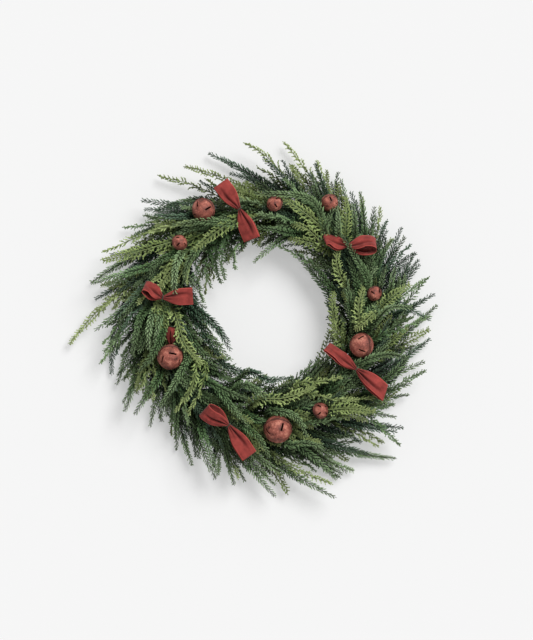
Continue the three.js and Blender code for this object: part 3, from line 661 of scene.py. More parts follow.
def rust_material(colour):
    """Rust with paler bloom, dark pits and a grainy surface, and painted shade in the seam's grooves."""
    surface = Surface("rusty_bell")
    bloom = towards(colour, (0.74, 0.31, 0.22), 0.74)
    broad, fine = surface.noise(85, 6, 0.66), surface.noise(480, 5, 0.7)
    shades = [(place, scaled(colour, share)) for place, share in ((0.34, 0.28), (0.45, 0.76), (0.54, 1.08))]
    rust = surface.ramp(broad, [*shades, (0.66, bloom)])
    rust = surface.times(rust, surface.ramp(fine, [(0.36, 0.5), (0.5, 0.95), (0.66, 1.0)]))
    return surface.finished(
        Base_Color=surface.with_painted_groove_shade(rust, 0.34), Roughness=surface.ramp(broad, [(0.3, 0.52), (0.7, 0.8)]),
        Specular_IOR_Level=0.3, Normal=surface.bump(fine, 0.0005),
    )


def ball_material():
    surface = Surface("bell_ball")
    scuffs = surface.ramp(surface.noise(700, 3), [(0.3, 0.3), (0.7, 0.55)])
    return surface.finished(Base_Color=(0.35, 0.33, 0.31), Metallic=1.0, Roughness=scuffs)


def ribbon_material(colour):
    """Plain woven cloth with crossing threads, paler selvedges and a soft nap, with painted shade in its
    folds and gathers.
    """
    surface = Surface("ribbon")
    layout = surface.add("UVMap")
    layout.uv_map = "UVMap"
    threads = []
    for direction in ("X", "Y"):
        wave = surface.add("TexWave", Scale=330, Distortion=0.4, Vector=layout.outputs["UV"])
        wave.bands_direction = direction
        threads.append(wave.outputs["Fac"])
    weave = surface.mix(0.5, *threads)
    patches = surface.noise(75, 5, 0.62)
    cloth = surface.ramp(patches, [(0.3, scaled(colour, 0.66)), (0.7, scaled(colour, 1.34))])
    cloth = surface.mix(0.25, cloth, weave, "MULTIPLY")
    across = surface.add("SeparateXYZ", Vector=layout.outputs["UV"]).outputs["X"]
    inner = surface.add("Math")
    inner.operation = "COMPARE"
    half_width = RIBBON_WIDTH / 2
    for socket, value in zip(inner.inputs, (across, half_width * MM, (half_width - SELVEDGE) * MM)):
        surface.feed(socket, value)
    cloth = surface.mix(inner.outputs["Value"], scaled(colour, 1.5), cloth)
    return surface.finished(
        Base_Color=surface.with_painted_groove_shade(cloth, 0.42), Roughness=0.85, Specular_IOR_Level=0.12,
        Sheen_Weight=0.12, Sheen_Roughness=0.5, Normal=surface.bump(weave, 0.00015, 0.6),
    )


def floor_material():
    # The floor's glow is painted light: it lifts the shade that the wreath casts on the floor.
    glow = (1, 1, 1)
    return Surface("pale_floor").finished(
        Base_Color=(FLOOR_SHADE,) * 3, Emission_Color=glow, Emission_Strength=FLOOR_GLOW, Roughness=0.9,
        Specular_IOR_Level=0.1,
    )


# ------------------------------------------------------------------ mesh helpers


def new_piece(name, bm, materials, smooth=False):
    mesh = bpy.data.meshes.new(name)
    bm.to_mesh(mesh)
    bm.free()
    for material in materials:
        mesh.materials.append(material)
    mesh.polygons.foreach_set("use_smooth", [smooth] * len(mesh.polygons))
    piece = bpy.data.objects.new(name, mesh)
    bpy.context.scene.collection.objects.link(piece)
    return piece


def vertex_places(mesh):
    """The places of a mesh's vertices, as rows."""
    places = np.empty(len(mesh.vertices) * 3)
    mesh.vertices.foreach_get("co", places)
    return places.reshape(-1, 3)


def evaluated_mesh(piece):
    """The mesh that an object's modifiers or curve settings make."""
    return bpy.data.meshes.new_from_object(piece.evaluated_get(bpy.context.evaluated_depsgraph_get()))


def add_rod(bm, start, end, radius, end_radius, sides):
    """A round rod between two places."""
    start, end = Vector(start), Vector(end)
    turn = (end - start).to_track_quat("Z", "Y").to_matrix().to_4x4()
    bmesh.ops.create_cone(
        bm, cap_ends=True, segments=sides, radius1=radius, radius2=end_radius, depth=(end - start).length,
        matrix=Matrix.Translation((start + end) / 2) @ turn,
    )


def add_wire_ring(bm, centre, ring, wire, steps):
    """A closed ring of round wire, level round `centre`."""
    upright = Matrix.Rotation(math.radians(90), 4, "X")
    verts = bmesh.ops.create_circle(bm, segments=10, radius=wire / 2, matrix=upright)["verts"]
    bmesh.ops.translate(bm, verts=verts, vec=centre + Vector((ring, 0, 0)))
    edges = list({edge for vert in verts for edge in vert.link_edges})
    bmesh.ops.spin(
        bm, geom=verts + edges, cent=centre, axis=(0, 0, 1), angle=math.tau, steps=steps, use_merge=True,
    )


def hand_over(piece, slot, *nodes):
    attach(piece, "root")
    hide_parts(*nodes)


def path_frames(path):
    """Directions at each point of a path: along it, level across it and up off it."""
    along = np.gradient(path, axis=0)
    along /= np.linalg.norm(along, axis=1, keepdims=True)
    across = np.cross((0, 0, 1), along)
    across /= np.maximum(np.linalg.norm(across, axis=1, keepdims=True), 1e-9)
    return along, across, np.cross(along, across)


def smooth_curve(points, steps=4):
    """A curve through the points, with `steps` stretches between neighbours."""
    points = np.asarray(points, float)
    padded = np.concatenate([[2 * points[0] - points[1]], points, [2 * points[-1] - points[-2]]])
    p0, p1, p2, p3 = (padded[i : len(padded) - 3 + i, None] for i in range(4))
    t = np.linspace(0, 1, steps, endpoint=False)[None, :, None]
    curve = 0.5 * (
        2 * p1 + (p2 - p0) * t + (2 * p0 - 5 * p1 + 4 * p2 - p3) * t**2 + (3 * p1 - p0 - 3 * p2 + p3) * t**3
    )
    return np.concatenate([curve.reshape(-1, 3), points[-1:]])


def bend(coordinates, reach, path, roll):
    """Lays a straight spray, which runs along +X from 0 to `reach`, along a path in metres."""
    along, across, up = path_frames(path)
    stops = lengths_along(path)
    at = coordinates[:, 0] / reach * stops[-1]
    inside = np.clip(at, 0, stops[-1])
    side = coordinates[:, 1] * math.cos(roll) - coordinates[:, 2] * math.sin(roll)
    high = coordinates[:, 1] * math.sin(roll) + coordinates[:, 2] * math.cos(roll)
    place, ahead, beside, above = (sampled(rows, stops, inside) for rows in (path, along, across, up))
    bent = place + ahead * (at - inside)[:, None]
    return bent + beside * side[:, None] + above * high[:, None]


# ------------------------------------------------------------------ sprays


def add_stem(bm, reach, radius, tip_radius):
    """A tapering stem along +X, cut into short stretches so that it can bend."""
    turn = Matrix.Rotation(math.radians(90), 4, "Y")
    bmesh.ops.create_cone(
        bm, cap_ends=True, segments=5, radius1=radius, radius2=tip_radius, depth=reach,
        matrix=Matrix.Translation((reach / 2, 0, 0)) @ turn,
    )
    for x in np.arange(0.012, reach - 0.006, 0.012):
        bmesh.ops.bisect_plane(
            bm, geom=[*bm.verts, *bm.edges, *bm.faces], plane_co=(x, 0, 0), plane_no=(1, 0, 0)
        )


def lean_direction(lean, angle):
    return (math.cos(lean), math.sin(lean) * math.cos(angle), math.sin(lean) * math.sin(angle))


def add_needle(bm, root, direction, length, width):
    """A needle or scale: a slim spindle from `root` along `direction`, widest near its point."""
    turn = Vector(direction).to_track_quat("Z", "Y").to_matrix().to_4x4()
    size = Matrix.Diagonal((width / 2, width / 2, length / 2, 1))
    middle = Matrix.Translation(root) @ turn @ Matrix.Translation((0, 0, length / 2))
    made = bmesh.ops.create_uvsphere(bm, u_segments=3, v_segments=2, radius=1)["verts"]
    bmesh.ops.translate(bm, verts=[v for v in made if abs(v.co.z) < 0.5], vec=(0, 0, 0.45))
    bmesh.ops.transform(bm, verts=made, matrix=middle @ size)


def round_spray(bm, foliage, reach, seed):
    """A rope of short needles in eight rows, from whorls of four that alternate, toothed to its point."""
    stem = reach - 0.006
    add_stem(bm, stem, 0.0013, 0.0005)
    x, i = 0.006, 0
    while x < stem:
        left = min(1.0, (stem - x) / 0.075)
        size = between(0.62, 1.0, left**0.9)
        for k in range(4 if left > 0.3 else 3):
            draw = i * 4 + k
            angle = math.radians(90 * k + 45 * (i % 2) + between(-12, 12, chance(draw, seed)))
            tilt = math.radians(between(34, 44, left) + between(-8, 8, chance(draw, seed + 1)))
            length = foliage.needle_length * size * between(0.78, 1.12, chance(draw, seed + 2))
            width = foliage.needle_width * between(0.45, 1, size)
            add_needle(bm, (x, 0, 0), lean_direction(tilt, angle), length, width)
        x += foliage.needle_step * between(1.6, 1.0, left)
        i += 1
    add_needle(bm, (stem - 0.001, 0, 0), (1, 0, 0), 0.007, foliage.needle_width * 0.5)


def flat_twigs(bm, reach, seed, longest, step, lump, spread, tilt):
    """Alternate side twigs with small scales on both sides, in a nearly flat frond."""
    x, side, i = 0.010, 1, 0
    while x < reach - 0.004:
        left = (reach - x) / 0.075
        envelope = between(0.3, 1.0, min(1.0, left) ** 0.8) * min(1.0, 0.55 + x / 0.05)
        twig = longest * envelope * between(0.72, 1.12, chance(i, seed))
        opening = between(spread - 16, spread, min(1.0, left * 1.5))
        yaw = math.radians(opening + between(-8, 8, chance(i, seed + 1)))
        rise = math.radians(between(-tilt, tilt, chance(i, seed + 2)))
        ahead = Vector((math.cos(yaw), side * math.sin(yaw) * math.cos(rise), math.sin(rise) * math.sin(yaw)))
        cross = Vector((-ahead.y, ahead.x, 0)).normalized()
        add_needle(bm, (x, 0, 0), ahead, twig * 1.05, 0.0034)
        scales = max(2, round(twig / (lump * 0.72)))
        for k in range(scales):
            share = (k + 0.5) / scales
            turn = 1 if k % 2 else -1
            lift = between(-0.35, 0.35, chance(i * 31 + k, seed + 3))
            way = (ahead + cross * 0.52 * turn + Vector((0, 0, lift))).normalized()
            at = Vector((x, 0, 0)) + ahead * twig * share
            add_needle(bm, at, way, lump * between(1.15, 0.8, share), lump * 0.46)
        x += step * between(0.62, 1.0, min(1.0, left))
        side = -side
        i += 1
    add_needle(bm, (reach - 0.008, 0, 0), (1, 0, 0), 0.008, lump * 0.5)


def flat_frond(bm, foliage, reach, seed):
    """A cedar frond: nearly flat, with the longest twigs."""
    add_stem(bm, reach - 0.004, 0.0013, 0.0006)
    flat_twigs(bm, reach, seed, foliage.frond_width, step=0.0043, lump=0.0062, spread=41, tilt=40)


def feathery_spray(bm, foliage, reach, seed):
    """A narrow cypress spray with short stubby twigs on all sides."""
    add_stem(bm, reach - 0.004, 0.0012, 0.0006)
    longest = foliage.frond_width * 0.72
    flat_twigs(bm, reach, seed, longest, step=0.0033, lump=0.0058, spread=38, tilt=80)


SPRAY_KINDS = {"round": round_spray, "frond": flat_frond, "feather": feathery_spray}
SPRAY_REACHES = [0.07, 0.09, 0.115, 0.145, 0.18, 0.22, 0.265, 0.32]
SPRAY_VARIANTS = 2
# Each kind's half width, and how light its green stays next to the stem, under the painted shade there.
SPRAY_FORMS = {"round": (0.0078, 0.0), "frond": (0.0115, 0.42), "feather": (0.0085, 0.32)}


class SprayLibrary:
    """Straight sprays of each kind and length, made once and then laid along many paths."""

    def __init__(self, foliage):
        self.foliage = foliage
        self.made = {}

    def get(self, kind, length, variant):
        reach = min(SPRAY_REACHES, key=lambda r: abs(math.log(r / length)))
        key = (kind, reach, variant)
        if key not in self.made:
            bm = bmesh.new()
            SPRAY_KINDS[kind](bm, self.foliage, reach, 100 + 10 * variant)
            mesh = bpy.data.meshes.new(f"{kind}_{round(reach * 1000)}_{variant}")
            bm.to_mesh(mesh)
            bm.free()
            coordinates = vertex_places(mesh)
            radius = np.hypot(coordinates[:, 1], coordinates[:, 2])
            half_width, least = SPRAY_FORMS[kind]
            tone = np.ones((len(coordinates), 4))
            tone[:, 1] = np.clip(coordinates[:, 0] / reach, 0, 1)
            # How far out from the stem: the material paints shade near the stem from this.
            tone[:, 2] = between(least, 1, np.clip(radius / half_width, 0, 1))
            self.made[key] = (mesh, coordinates, tone, reach)
        return self.made[key]

    def clear(self):
        for mesh, *_ in self.made.values():
            bpy.data.meshes.remove(mesh)


class Spray:
    """One spray: its path in millimetres, its kind, its green and how light it is."""

    def __init__(self, bunch, path, kind, green, shade, roll):
        self.bunch, self.path, self.kind = bunch, path, kind
        self.green, self.shade, self.roll = green, shade, roll


def side_paths(path, index, count):
    """Paths that leave a main spray near its foot and spread out beside it."""
    for k in range(count):
        begin = int(round(between(0, 4, chance(index, 20 + k))))
        rest = path[begin:]
        side = 1 if (k + index) % 2 else -1
        turn = math.radians(side * between(4, 24, chance(index, 30 + k)))
        shrink = between(0.62, 0.97, chance(index, 40 + k))
        share = np.linspace(0, 1, len(rest))[:, None]
        offset = rest - rest[0]
        cos, sin = np.cos(turn * share), np.sin(turn * share)
        x, y, z = (offset[:, i : i + 1] for i in range(3))
        spun = np.concatenate([x * cos - y * sin, x * sin + y * cos, z], axis=1)
        lift = between(-24, 10, chance(index, 50 + k))
        moved = rest[0] + spun * shrink
        moved[:, 2] += lift * np.sin(share[:, 0] * math.pi * 0.6)
        yield spaced(smooth_curve(moved), SPINE_POINTS)


def reach_at(reaches, angles):
    """How far a ring of reaches goes at each angle, in radians."""
    return np.interp(np.degrees(angles) % 360, np.linspace(0, 360, len(reaches) + 1), [*reaches, reaches[0]])


def trimmed(path, index, widest):
    """The path, cut off where it leaves the mass of foliage or comes too far into the hole."""
    fine = smooth_curve(path)
    radius = np.linalg.norm(fine[:, :2], axis=1)
    angle = np.arctan2(fine[:, 1], fine[:, 0])
    keep = radius < np.minimum(reach_at(MASS_REACHES, angle) * between(0.96, 1.13, chance(index, 91)), widest)
    keep &= radius > reach_at(HOLE_REACHES, angle) + between(-5, 9, chance(index, 90))
    last = len(fine) if keep.all() else max(12, int(np.argmin(keep)))
    return spaced(fine[:last], SPINE_POINTS)


def top_sprays():
    """Bunch and path of each uppermost spray, grown from the bunch behind it.

    Those that cross a bow don't droop at their tips.
    """
    for _, _, height, start, middle, tip in TOP_SPRAYS:
        angle = math.degrees(math.atan2(start[1], start[0]))
        bunch = half_up((angle - 14) / BUNCH_STEP) % BUNCH_COUNT
        foot = polar(bunch * BUNCH_STEP + 1.2, RAIL_RADIUS, BUNDLE_Z)
        droop = 0 if height > OVER_BOW_HEIGHT else 9
        knots = [foot, (*start, height - 12), (*middle, height), (*tip, height - droop)]
        yield bunch, spaced(smooth_curve(knots, 16), SPINE_POINTS)


def spread_out(paths, held):
    """Moves sprays that lie in each other aside, all but the last `held`."""
    count, free = len(paths), 4
    loose = SPINE_POINTS - free
    for _ in range(CLOSE_ROUNDS):
        points = paths[:, free:].reshape(-1, 3)
        tree = kdtree.KDTree(len(points))
        for i, point in enumerate(points):
            tree.insert(point, i)
        tree.balance()
        push = np.zeros_like(points)
        for i, point in enumerate(points):
            for other, j, apart in tree.find_range(point, CLOSE_GAP):
                if i // loose != j // loose:
                    push[i] += (point - other) * (CLOSE_PUSH * (CLOSE_GAP - apart) / (apart + 0.5))
        size = np.linalg.norm(push, axis=1, keepdims=True)
        push *= np.minimum(1, LONGEST_CLOSE_PUSH / np.maximum(size, 1e-9))
        moved = paths[: count - held]
        moved[:, free:] += push.reshape(count, loose, 3)[: count - held]
        moved[:, 1:-1] += EVEN_OUT * unevenness(moved)
        moved[:, :, 2] = np.clip(moved[:, :, 2], LOW_STEM_HEIGHT, TOP_STEM_HEIGHT)


def dip_under(path, balls):
    """Lowers a spray that would cross over a bell or a bow, so that it passes beneath."""
    for ball in balls:
        apart = np.linalg.norm(path[1:, :2] - ball[:2], axis=1)
        most = ball[2] - ball[3] - DIP_ROOM
        path[1:, 2] = np.where(apart < ball[3] + DIP_ROOM, np.minimum(path[1:, 2], most), path[1:, 2])


def look_of(row, k, level, bunch):
    """Kind and green of a spray: the outer tips have their own, the rest follow the bunch."""
    if level == "outer" and (k == 0 or chance(row * 7 + k, 63) < 0.5):
        return SPRAY_LOOKS[OUTER_LOOKS[row]]
    mix = BUNCH_LOOKS[BUNCH_GREENS[bunch]]
    return SPRAY_LOOKS[mix[int(chance(row * 7 + k, 60) * len(mix))]]


def dressed_sprays(rows, main, side_count):
    """Each settled spray with the finer ones beside it. Outer tips stay whole, the rest are trimmed."""
    for i, (level, bunch, _) in enumerate(rows):
        widest = np.linalg.norm(main[i][-1, :2]) if level == "outer" else WIDEST_MASS
        for k, path in enumerate([main[i], *side_paths(main[i], i, side_count)]):
            outer_tip = k == 0 and level == "outer"
            if outer_tip:
                path = spaced(smooth_curve(path)[:-2], SPINE_POINTS)
            else:
                path = trimmed(path, i * 7 + k, widest)
            kind, green = look_of(i, k, level, bunch)
            roll = (chance(i * 7 + k, 61) - 0.5) * (FROND_ROLL if kind == "frond" else FREE_ROLL)
            shade = between(0.5 if outer_tip else 0.0, 1, chance(i * 7 + k, 62))
            yield Spray(bunch, path, kind, green, shade, roll)


def lay_clear(paths, held, shown):
    """Spreads sprays out and dips them beneath the bells and bows, all but the last `held`."""
    under = paths[:-held]
    for _ in range(3):
        spread_out(paths, held)
        for path in under:
            dip_under(path, shown)
            path[1:-1] += 0.4 * unevenness(path)
    for path in under:
        dip_under(path, shown)


def all_sprays(foliage, balls):
    """Every spray of the wreath, clear of the others, the bells and the bows."""
    rows = [*outer_sprays(), *crown_sprays(), *inner_sprays()]
    main = settle(np.array([path for _, _, path in rows]), balls)
    sprays = list(dressed_sprays(rows, main, foliage.side_sprays))
    for i, (bunch, path) in enumerate(backing_sprays()):
        sprays.append(Spray(bunch, trimmed(path, i, WIDEST_MASS), "round", "d", 0.5 * chance(i, 97), i))
    for i, (bunch, path) in enumerate(top_sprays()):
        look, shade = TOP_SPRAYS[i][:2]
        kind, green = SPRAY_LOOKS[look]
        sprays.append(Spray(bunch, path, kind, green, shade, 0.0 if kind == "frond" else i))
    paths = np.array([spray.path for spray in sprays])
    lay_clear(paths, len(TOP_SPRAYS), balls[balls[:, 3] > WIRE_BALL])
    for spray, path in zip(sprays, paths):
        spray.path = path
    return sprays


def cut_stems(bm, bunch):
    """The cut stems of a bunch, gathered side by side where the wire binds them."""
    start = polar(bunch * BUNCH_STEP, RAIL_RADIUS, BUNDLE_Z)
    along = polar(bunch * BUNCH_STEP + 90, 1)
    across = polar(bunch * BUNCH_STEP, 1)
    for k in range(6):
        angle = k * math.pi / 3 + 0.3
        out = 0 if k == 5 else 2.5
        side = across * out * math.cos(angle * 1.2) + np.array([0, 0, out * math.sin(angle * 1.2)])
        back = BUNDLE_BACK - 5 * chance(bunch * 6 + k, 70)
        ends = [placed(start + side + along * ahead) for ahead in (-back, BUNDLE_FRONT)]
        add_rod(bm, *ends, CUT_STEM_RADIUS * MM, CUT_STEM_RADIUS * 0.9 * MM, 8)


def bunch_piece(name, bunch, sprays, library, materials, balls):
    """One bunch as a mesh: its sprays bent along their paths, and its cut stems."""
    bm = bmesh.new()
    blocks, tones, slots = [], [], []
    for i, spray in enumerate(sprays):
        variant = int(chance(i + bunch * 17, 80) * SPRAY_VARIANTS)
        mesh, coordinates, tone, reach = library.get(spray.kind, lengths_along(spray.path)[-1] * MM, variant)
        bm.from_mesh(mesh)
        blocks.append(bend(coordinates, reach, placed(smooth_curve(spray.path)), spray.roll))
        own = tone.copy()
        own[:, 0] = spray.shade
        tones.append(own)
        slots.append(np.full(len(mesh.polygons), list(GREEN_NAMES).index(spray.green)))
    laid, faces = len(bm.verts), len(bm.faces)
    cut_stems(bm, bunch)
    piece = new_piece(name, bm, materials)
    mesh = piece.data
    coordinates = vertex_places(mesh)
    coordinates[:laid] = np.concatenate(blocks)
    coordinates[:laid, 2] = np.clip(coordinates[:laid, 2], LEAST_HEIGHT * MM, FOLIAGE_TOP * MM)
    mesh.vertices.foreach_set("co", coordinates.ravel())
    tone = np.ones((len(coordinates), 4))
    tone[:laid] = np.concatenate(tones)
    mesh.attributes.new("tone", "FLOAT_COLOR", "POINT").data.foreach_set("color", tone.ravel())
    slot = np.full(len(mesh.polygons), len(GREEN_NAMES))
    slot[:faces] = np.concatenate(slots)
    mesh.polygons.foreach_set("material_index", slot.astype(np.int32))
    clear_needles(mesh, coordinates, balls)
    mesh.update()
    return piece


def clear_needles(mesh, coordinates, balls):
    """Takes off the needles and scales that would reach into a bell or a bow. Bows are flatter than balls."""
    inside = np.zeros(len(coordinates), bool)
    centres = placed(balls[:, :3])
    for centre, radius in zip(centres, balls[:, 3] * MM):
        away = coordinates - centre
        if radius < RIBBON_BALL * MM:
            away[:, 2] *= radius / (RIBBON_ROOM * MM)
        inside |= np.linalg.norm(away, axis=1) < radius
    if not inside.any():
        return
    bm = bmesh.new()
    bm.from_mesh(mesh)
    bm.verts.ensure_lookup_table()
    gone, todo = set(), [bm.verts[i] for i in np.flatnonzero(inside)]
    for vert in todo:
        if vert in gone:
            continue
        island, edge = {vert}, [vert]
        while edge and len(island) < 12:
            for link in edge.pop().link_edges:
                for other in link.verts:
                    if other not in island:
                        island.add(other)
                        edge.append(other)
        if len(island) < 12:
            gone |= island
    bmesh.ops.delete(bm, geom=list(gone), context="VERTS")
    bm.to_mesh(mesh)
    bm.free()


class WREATH_OT_bunches(bpy.types.Operator):
    """Lay the bunches of evergreen sprays round the ring"""

    bl_idname = "wreath.bunches"
    bl_label = "Evergreen bunches"

    def execute(self, context):
        foliage, colours = context.scene.wreath_foliage, context.scene.wreath_colours
        materials = [
            foliage_material(f"{green}_green", getattr(colours, green), TIP_GREENS[letter])
            for letter, green in GREEN_NAMES.items()
        ]
        materials.append(bark_material(colours.bark))
        library = SprayLibrary(foliage)
        balls = obstacles()
        sprays = all_sprays(foliage, balls)
        shown = balls[balls[:, 3] > WIRE_BALL]
        for bunch, letter in enumerate(BUNCH_GREENS):
            green = GREEN_NAMES[letter]
            node = f"{green}_bunch_{bunch + 1:02d}"
            own = [spray for spray in sprays if spray.bunch == bunch]
            piece = bunch_piece(f"evergreen_{node}", bunch, own, library, materials, shown)
            hand_over(piece, f"{green}_green", node)
        library.clear()
        return {"FINISHED"}


# ------------------------------------------------------------------ wires


class WREATH_OT_frame(bpy.types.Operator):
    """Weld the wire frame from three rails and its cross bars"""

    bl_idname = "wreath.frame"
    bl_label = "Wire frame"

    def execute(self, context):
        bm = bmesh.new()
        spread, low = RAIL_SPREAD, SIDE_RAIL_Z
        rails = [(RAIL_RADIUS + out, z) for out, z in ((-spread, low), (0, MIDDLE_RAIL_Z), (spread, low))]
        for radius, z in rails:
            centre = RING_CENTRE + Vector((0, 0, z * MM))
            add_wire_ring(bm, centre, radius * MM, RAIL_WIRE * MM * RAIL_SHARE, 112)
        bmesh.ops.recalc_face_normals(bm, faces=bm.faces)
        bar = RAIL_WIRE * MM * BAR_SHARE
        for i in range(BAR_COUNT):
            angle = (half_up(i * BUNCH_COUNT / BAR_COUNT) + 0.5) * BUNCH_STEP
            knots = [polar(angle, radius, z) for radius, z in rails]
            knots[1][2] -= BAR_DIP
            for start, end in zip(knots, knots[1:]):
                add_rod(bm, placed(start), placed(end), bar, bar, 10)
        lacquer = wire_material(context.scene.wreath_colours.wire, "frame_wire", 0.4)
        piece = new_piece("ring_frame", bm, [lacquer], True)
        hand_over(piece, "frame_wire", "wire_frame")
        return {"FINISHED"}


def wire_curve(name, paths, closed, radius):
    """A round wire along each path, as a mesh."""
    data = bpy.data.curves.new(name, "CURVE")
    data.dimensions = "3D"
    data.bevel_depth = radius
    data.bevel_resolution = 2
    data.use_fill_caps = True
    for path, cyclic in zip(paths, closed):
        spline = data.splines.new("POLY")
        spline.points.add(len(path) - 1)
        for point, place in zip(spline.points, placed(path)):
            point.co = (*place, 1)
        spline.use_cyclic_u = cyclic
    holder = bpy.data.objects.new(name, data)
    bpy.context.scene.collection.objects.link(holder)
    mesh = evaluated_mesh(holder)
    bpy.data.objects.remove(holder)
    bm = bmesh.new()
    bm.from_mesh(mesh)
    bpy.data.meshes.remove(mesh)
    bmesh.ops.remove_doubles(bm, verts=bm.verts, dist=1e-6)
    bmesh.ops.recalc_face_normals(bm, faces=bm.faces)
    return bm


class WREATH_OT_binding(bpy.types.Operator):
    """Wind the binding wire round the bunches and tie on the bells and bows"""

    bl_idname = "wreath.binding"
    bl_label = "Binding wire"

    def execute(self, context):
        rounds = np.array([point for bunch in range(BUNCH_COUNT) for point in binding_round(bunch)])
        wrapped = np.concatenate([rounds[-2:], rounds, rounds[:2]])
        winding = smooth_curve(wrapped, 3)[6:-6]
        ties = [smooth_curve(path, 3) for path in tie_paths()]
        bm = wire_curve("binding", [winding, *ties], [True] + [False] * len(ties), BINDING_WIRE / 2 * MM)
        lacquer = wire_material(context.scene.wreath_colours.wire, "binding_wire", 0.5)
        piece = new_piece("binding", bm, [lacquer], True)
        hand_over(piece, "binding_wire", "binding_wire")
        return {"FINISHED"}


# ------------------------------------------------------------------ bells


def bell_profile(radius):
    """Outside and inside of a bell's wall, from the loop's end to the slotted end: [out, along]."""
    outside, inside = [], []
    steps = 26
    for i in range(steps + 1):
        angle = -math.pi / 2 + i * math.pi / steps
        outside.append([radius * math.cos(angle), radius * math.sin(angle)])
        inside.append([(radius - BELL_WALL) * math.cos(angle), (radius - BELL_WALL) * math.sin(angle)])
    seam = [*SEAM_LINE, *((out, -at) for out, at in SEAM_LINE[-2::-1])]
    above = [point for point in outside if point[1] < -SEAM_HALF]
    below = [point for point in outside if point[1] > SEAM_HALF]
    outside = above + [[radius + out, at] for out, at in seam] + below
    return outside, inside[::-1]


def bell_shell(radius):
    """A hollow bell on +Y: its slots face +Y and its loop is at -Y, in metres round the origin."""
    bm = bmesh.new()
    for profile in bell_profile(radius):
        verts = [bm.verts.new((max(0.0, out) * MM, along * MM, 0)) for out, along in profile]
        edges = [bm.edges.new(pair) for pair in zip(verts, verts[1:])]
        bmesh.ops.spin(
            bm, geom=verts + edges, cent=(0, 0, 0), axis=(0, 1, 0), angle=math.tau, steps=48, use_merge=True,
        )
    bmesh.ops.remove_doubles(bm, verts=bm.verts, dist=1e-6)
    return bm


def slot_cutter(radius, spin, twist, lean):
    """Four slots with round ends in the lower half of a bell."""
    bm = bmesh.new()
    wide, half, deep, lean = 1.0 + 0.03 * radius, radius * 0.24, radius * 0.5, math.radians(lean)
    for i in range(BELL_SLOTS):
        verts = bmesh.ops.create_circle(
            bm, cap_ends=True, segments=16, radius=wide * MM, matrix=Matrix.Rotation(math.pi / 16, 4, "Z")
        )["verts"]
        for end in (-1, 1):
            moved = [vert for vert in verts if vert.co.y * end > 0]
            bmesh.ops.translate(bm, verts=moved, vec=(0, end * half * MM, -deep / 2 * MM))
        faces = list({face for vert in verts for face in vert.link_faces})
        sides = bmesh.ops.extrude_face_region(bm, geom=faces)["geom"]
        top = [part for part in sides if isinstance(part, bmesh.types.BMVert)]
        bmesh.ops.translate(bm, verts=top, vec=(0, 0, deep * MM))
        for matrix in (
            Matrix.Rotation(math.pi / 2, 4, "Y"),
            Matrix.Rotation(math.radians(twist), 4, "X"),
            Matrix.Rotation(lean, 4, "Z"),
            Matrix.Translation((radius * math.cos(lean) * MM, radius * math.sin(lean) * MM, 0)),
            Matrix.Rotation(math.radians(spin + 45 + i * 360 / BELL_SLOTS), 4, "Y"),
        ):
            bmesh.ops.transform(bm, matrix=matrix, verts=verts + top)
    bmesh.ops.recalc_face_normals(bm, faces=bm.faces)
    return bm


def cut_with(bm, cutter, name):
    """The first shape with the second taken out of it."""
    body, tool = new_piece(f"{name}_whole", bm, []), new_piece(f"{name}_tool", cutter, [])
    cut = body.modifiers.new("cut", "BOOLEAN")
    cut.operation, cut.object, cut.solver = "DIFFERENCE", tool, "EXACT"
    mesh = evaluated_mesh(body)
    result = bmesh.new()
    result.from_mesh(mesh)
    for piece in (body, tool):
        data = piece.data
        bpy.data.objects.remove(piece)
        bpy.data.meshes.remove(data)
    bpy.data.meshes.remove(mesh)
    return result


class WREATH_OT_bells(bpy.types.Operator):
    """Press the jingle bells with their slots, seams and loops"""

    bl_idname = "wreath.bells"
    bl_label = "Jingle bells"

    def execute(self, context):
        rust = rust_material(context.scene.wreath_colours.rust)
        for i, bell in enumerate(BELLS):
            centre, axis, _, through = bell_axes(bell)
            radius = bell[1] / 2
            bm = cut_with(bell_shell(radius), slot_cutter(radius, *BELL_SPINS[i]), f"bell_{i + 1}")
            for vert in bm.verts:
                dent = noise.noise(vert.co * 110 + Vector((i, 0, 0))) * DENT_DEPTH * MM
                vert.co += vert.co.normalized() * dent
            # Painted shade: the seam's grooves, its middle joint among them, are marked to be darkened.
            groove = bm.verts.layers.float.new("groove")
            for vert in bm.verts:
                from_seam = abs(vert.co.y) / MM
                vert[groove] = float(0.7 < from_seam < 2.6 or from_seam < 0.3)
            eye = Vector((0, -(radius + LOOP_OFFSET) * MM, 0))
            add_wire_ring(bm, eye, LOOP_RING * MM, LOOP_WIRE * MM, 24)
            side = np.cross(axis, through)
            turn = Matrix((side, axis, through)).transposed().to_4x4()
            bmesh.ops.transform(bm, matrix=Matrix.Translation(Vector(placed(centre))) @ turn, verts=bm.verts)
            piece = new_piece(f"jingle_bell_{i + 1}", bm, [rust], True)
            piece.data.set_sharp_from_angle(angle=math.radians(40))
            hand_over(piece, "rusty_bell", f"bell_{i + 1}_shell")
        return {"FINISHED"}


class WREATH_OT_balls(bpy.types.Operator):
    """Drop the loose ball into each bell"""

    bl_idname = "wreath.balls"
    bl_label = "Loose balls"

    def execute(self, context):
        steel = ball_material()
        for i in range(len(BELLS)):
            low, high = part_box(f"bell_{i + 1}_ball")
            bm = bmesh.new()
            bmesh.ops.create_icosphere(
                bm, subdivisions=3, radius=min(high - low) / 2, matrix=Matrix.Translation((low + high) / 2)
            )
            piece = new_piece(f"loose_ball_{i + 1}", bm, [steel], True)
            hand_over(piece, "bell_ball", f"bell_{i + 1}_ball")
        return {"FINISHED"}


# ------------------------------------------------------------------ bows


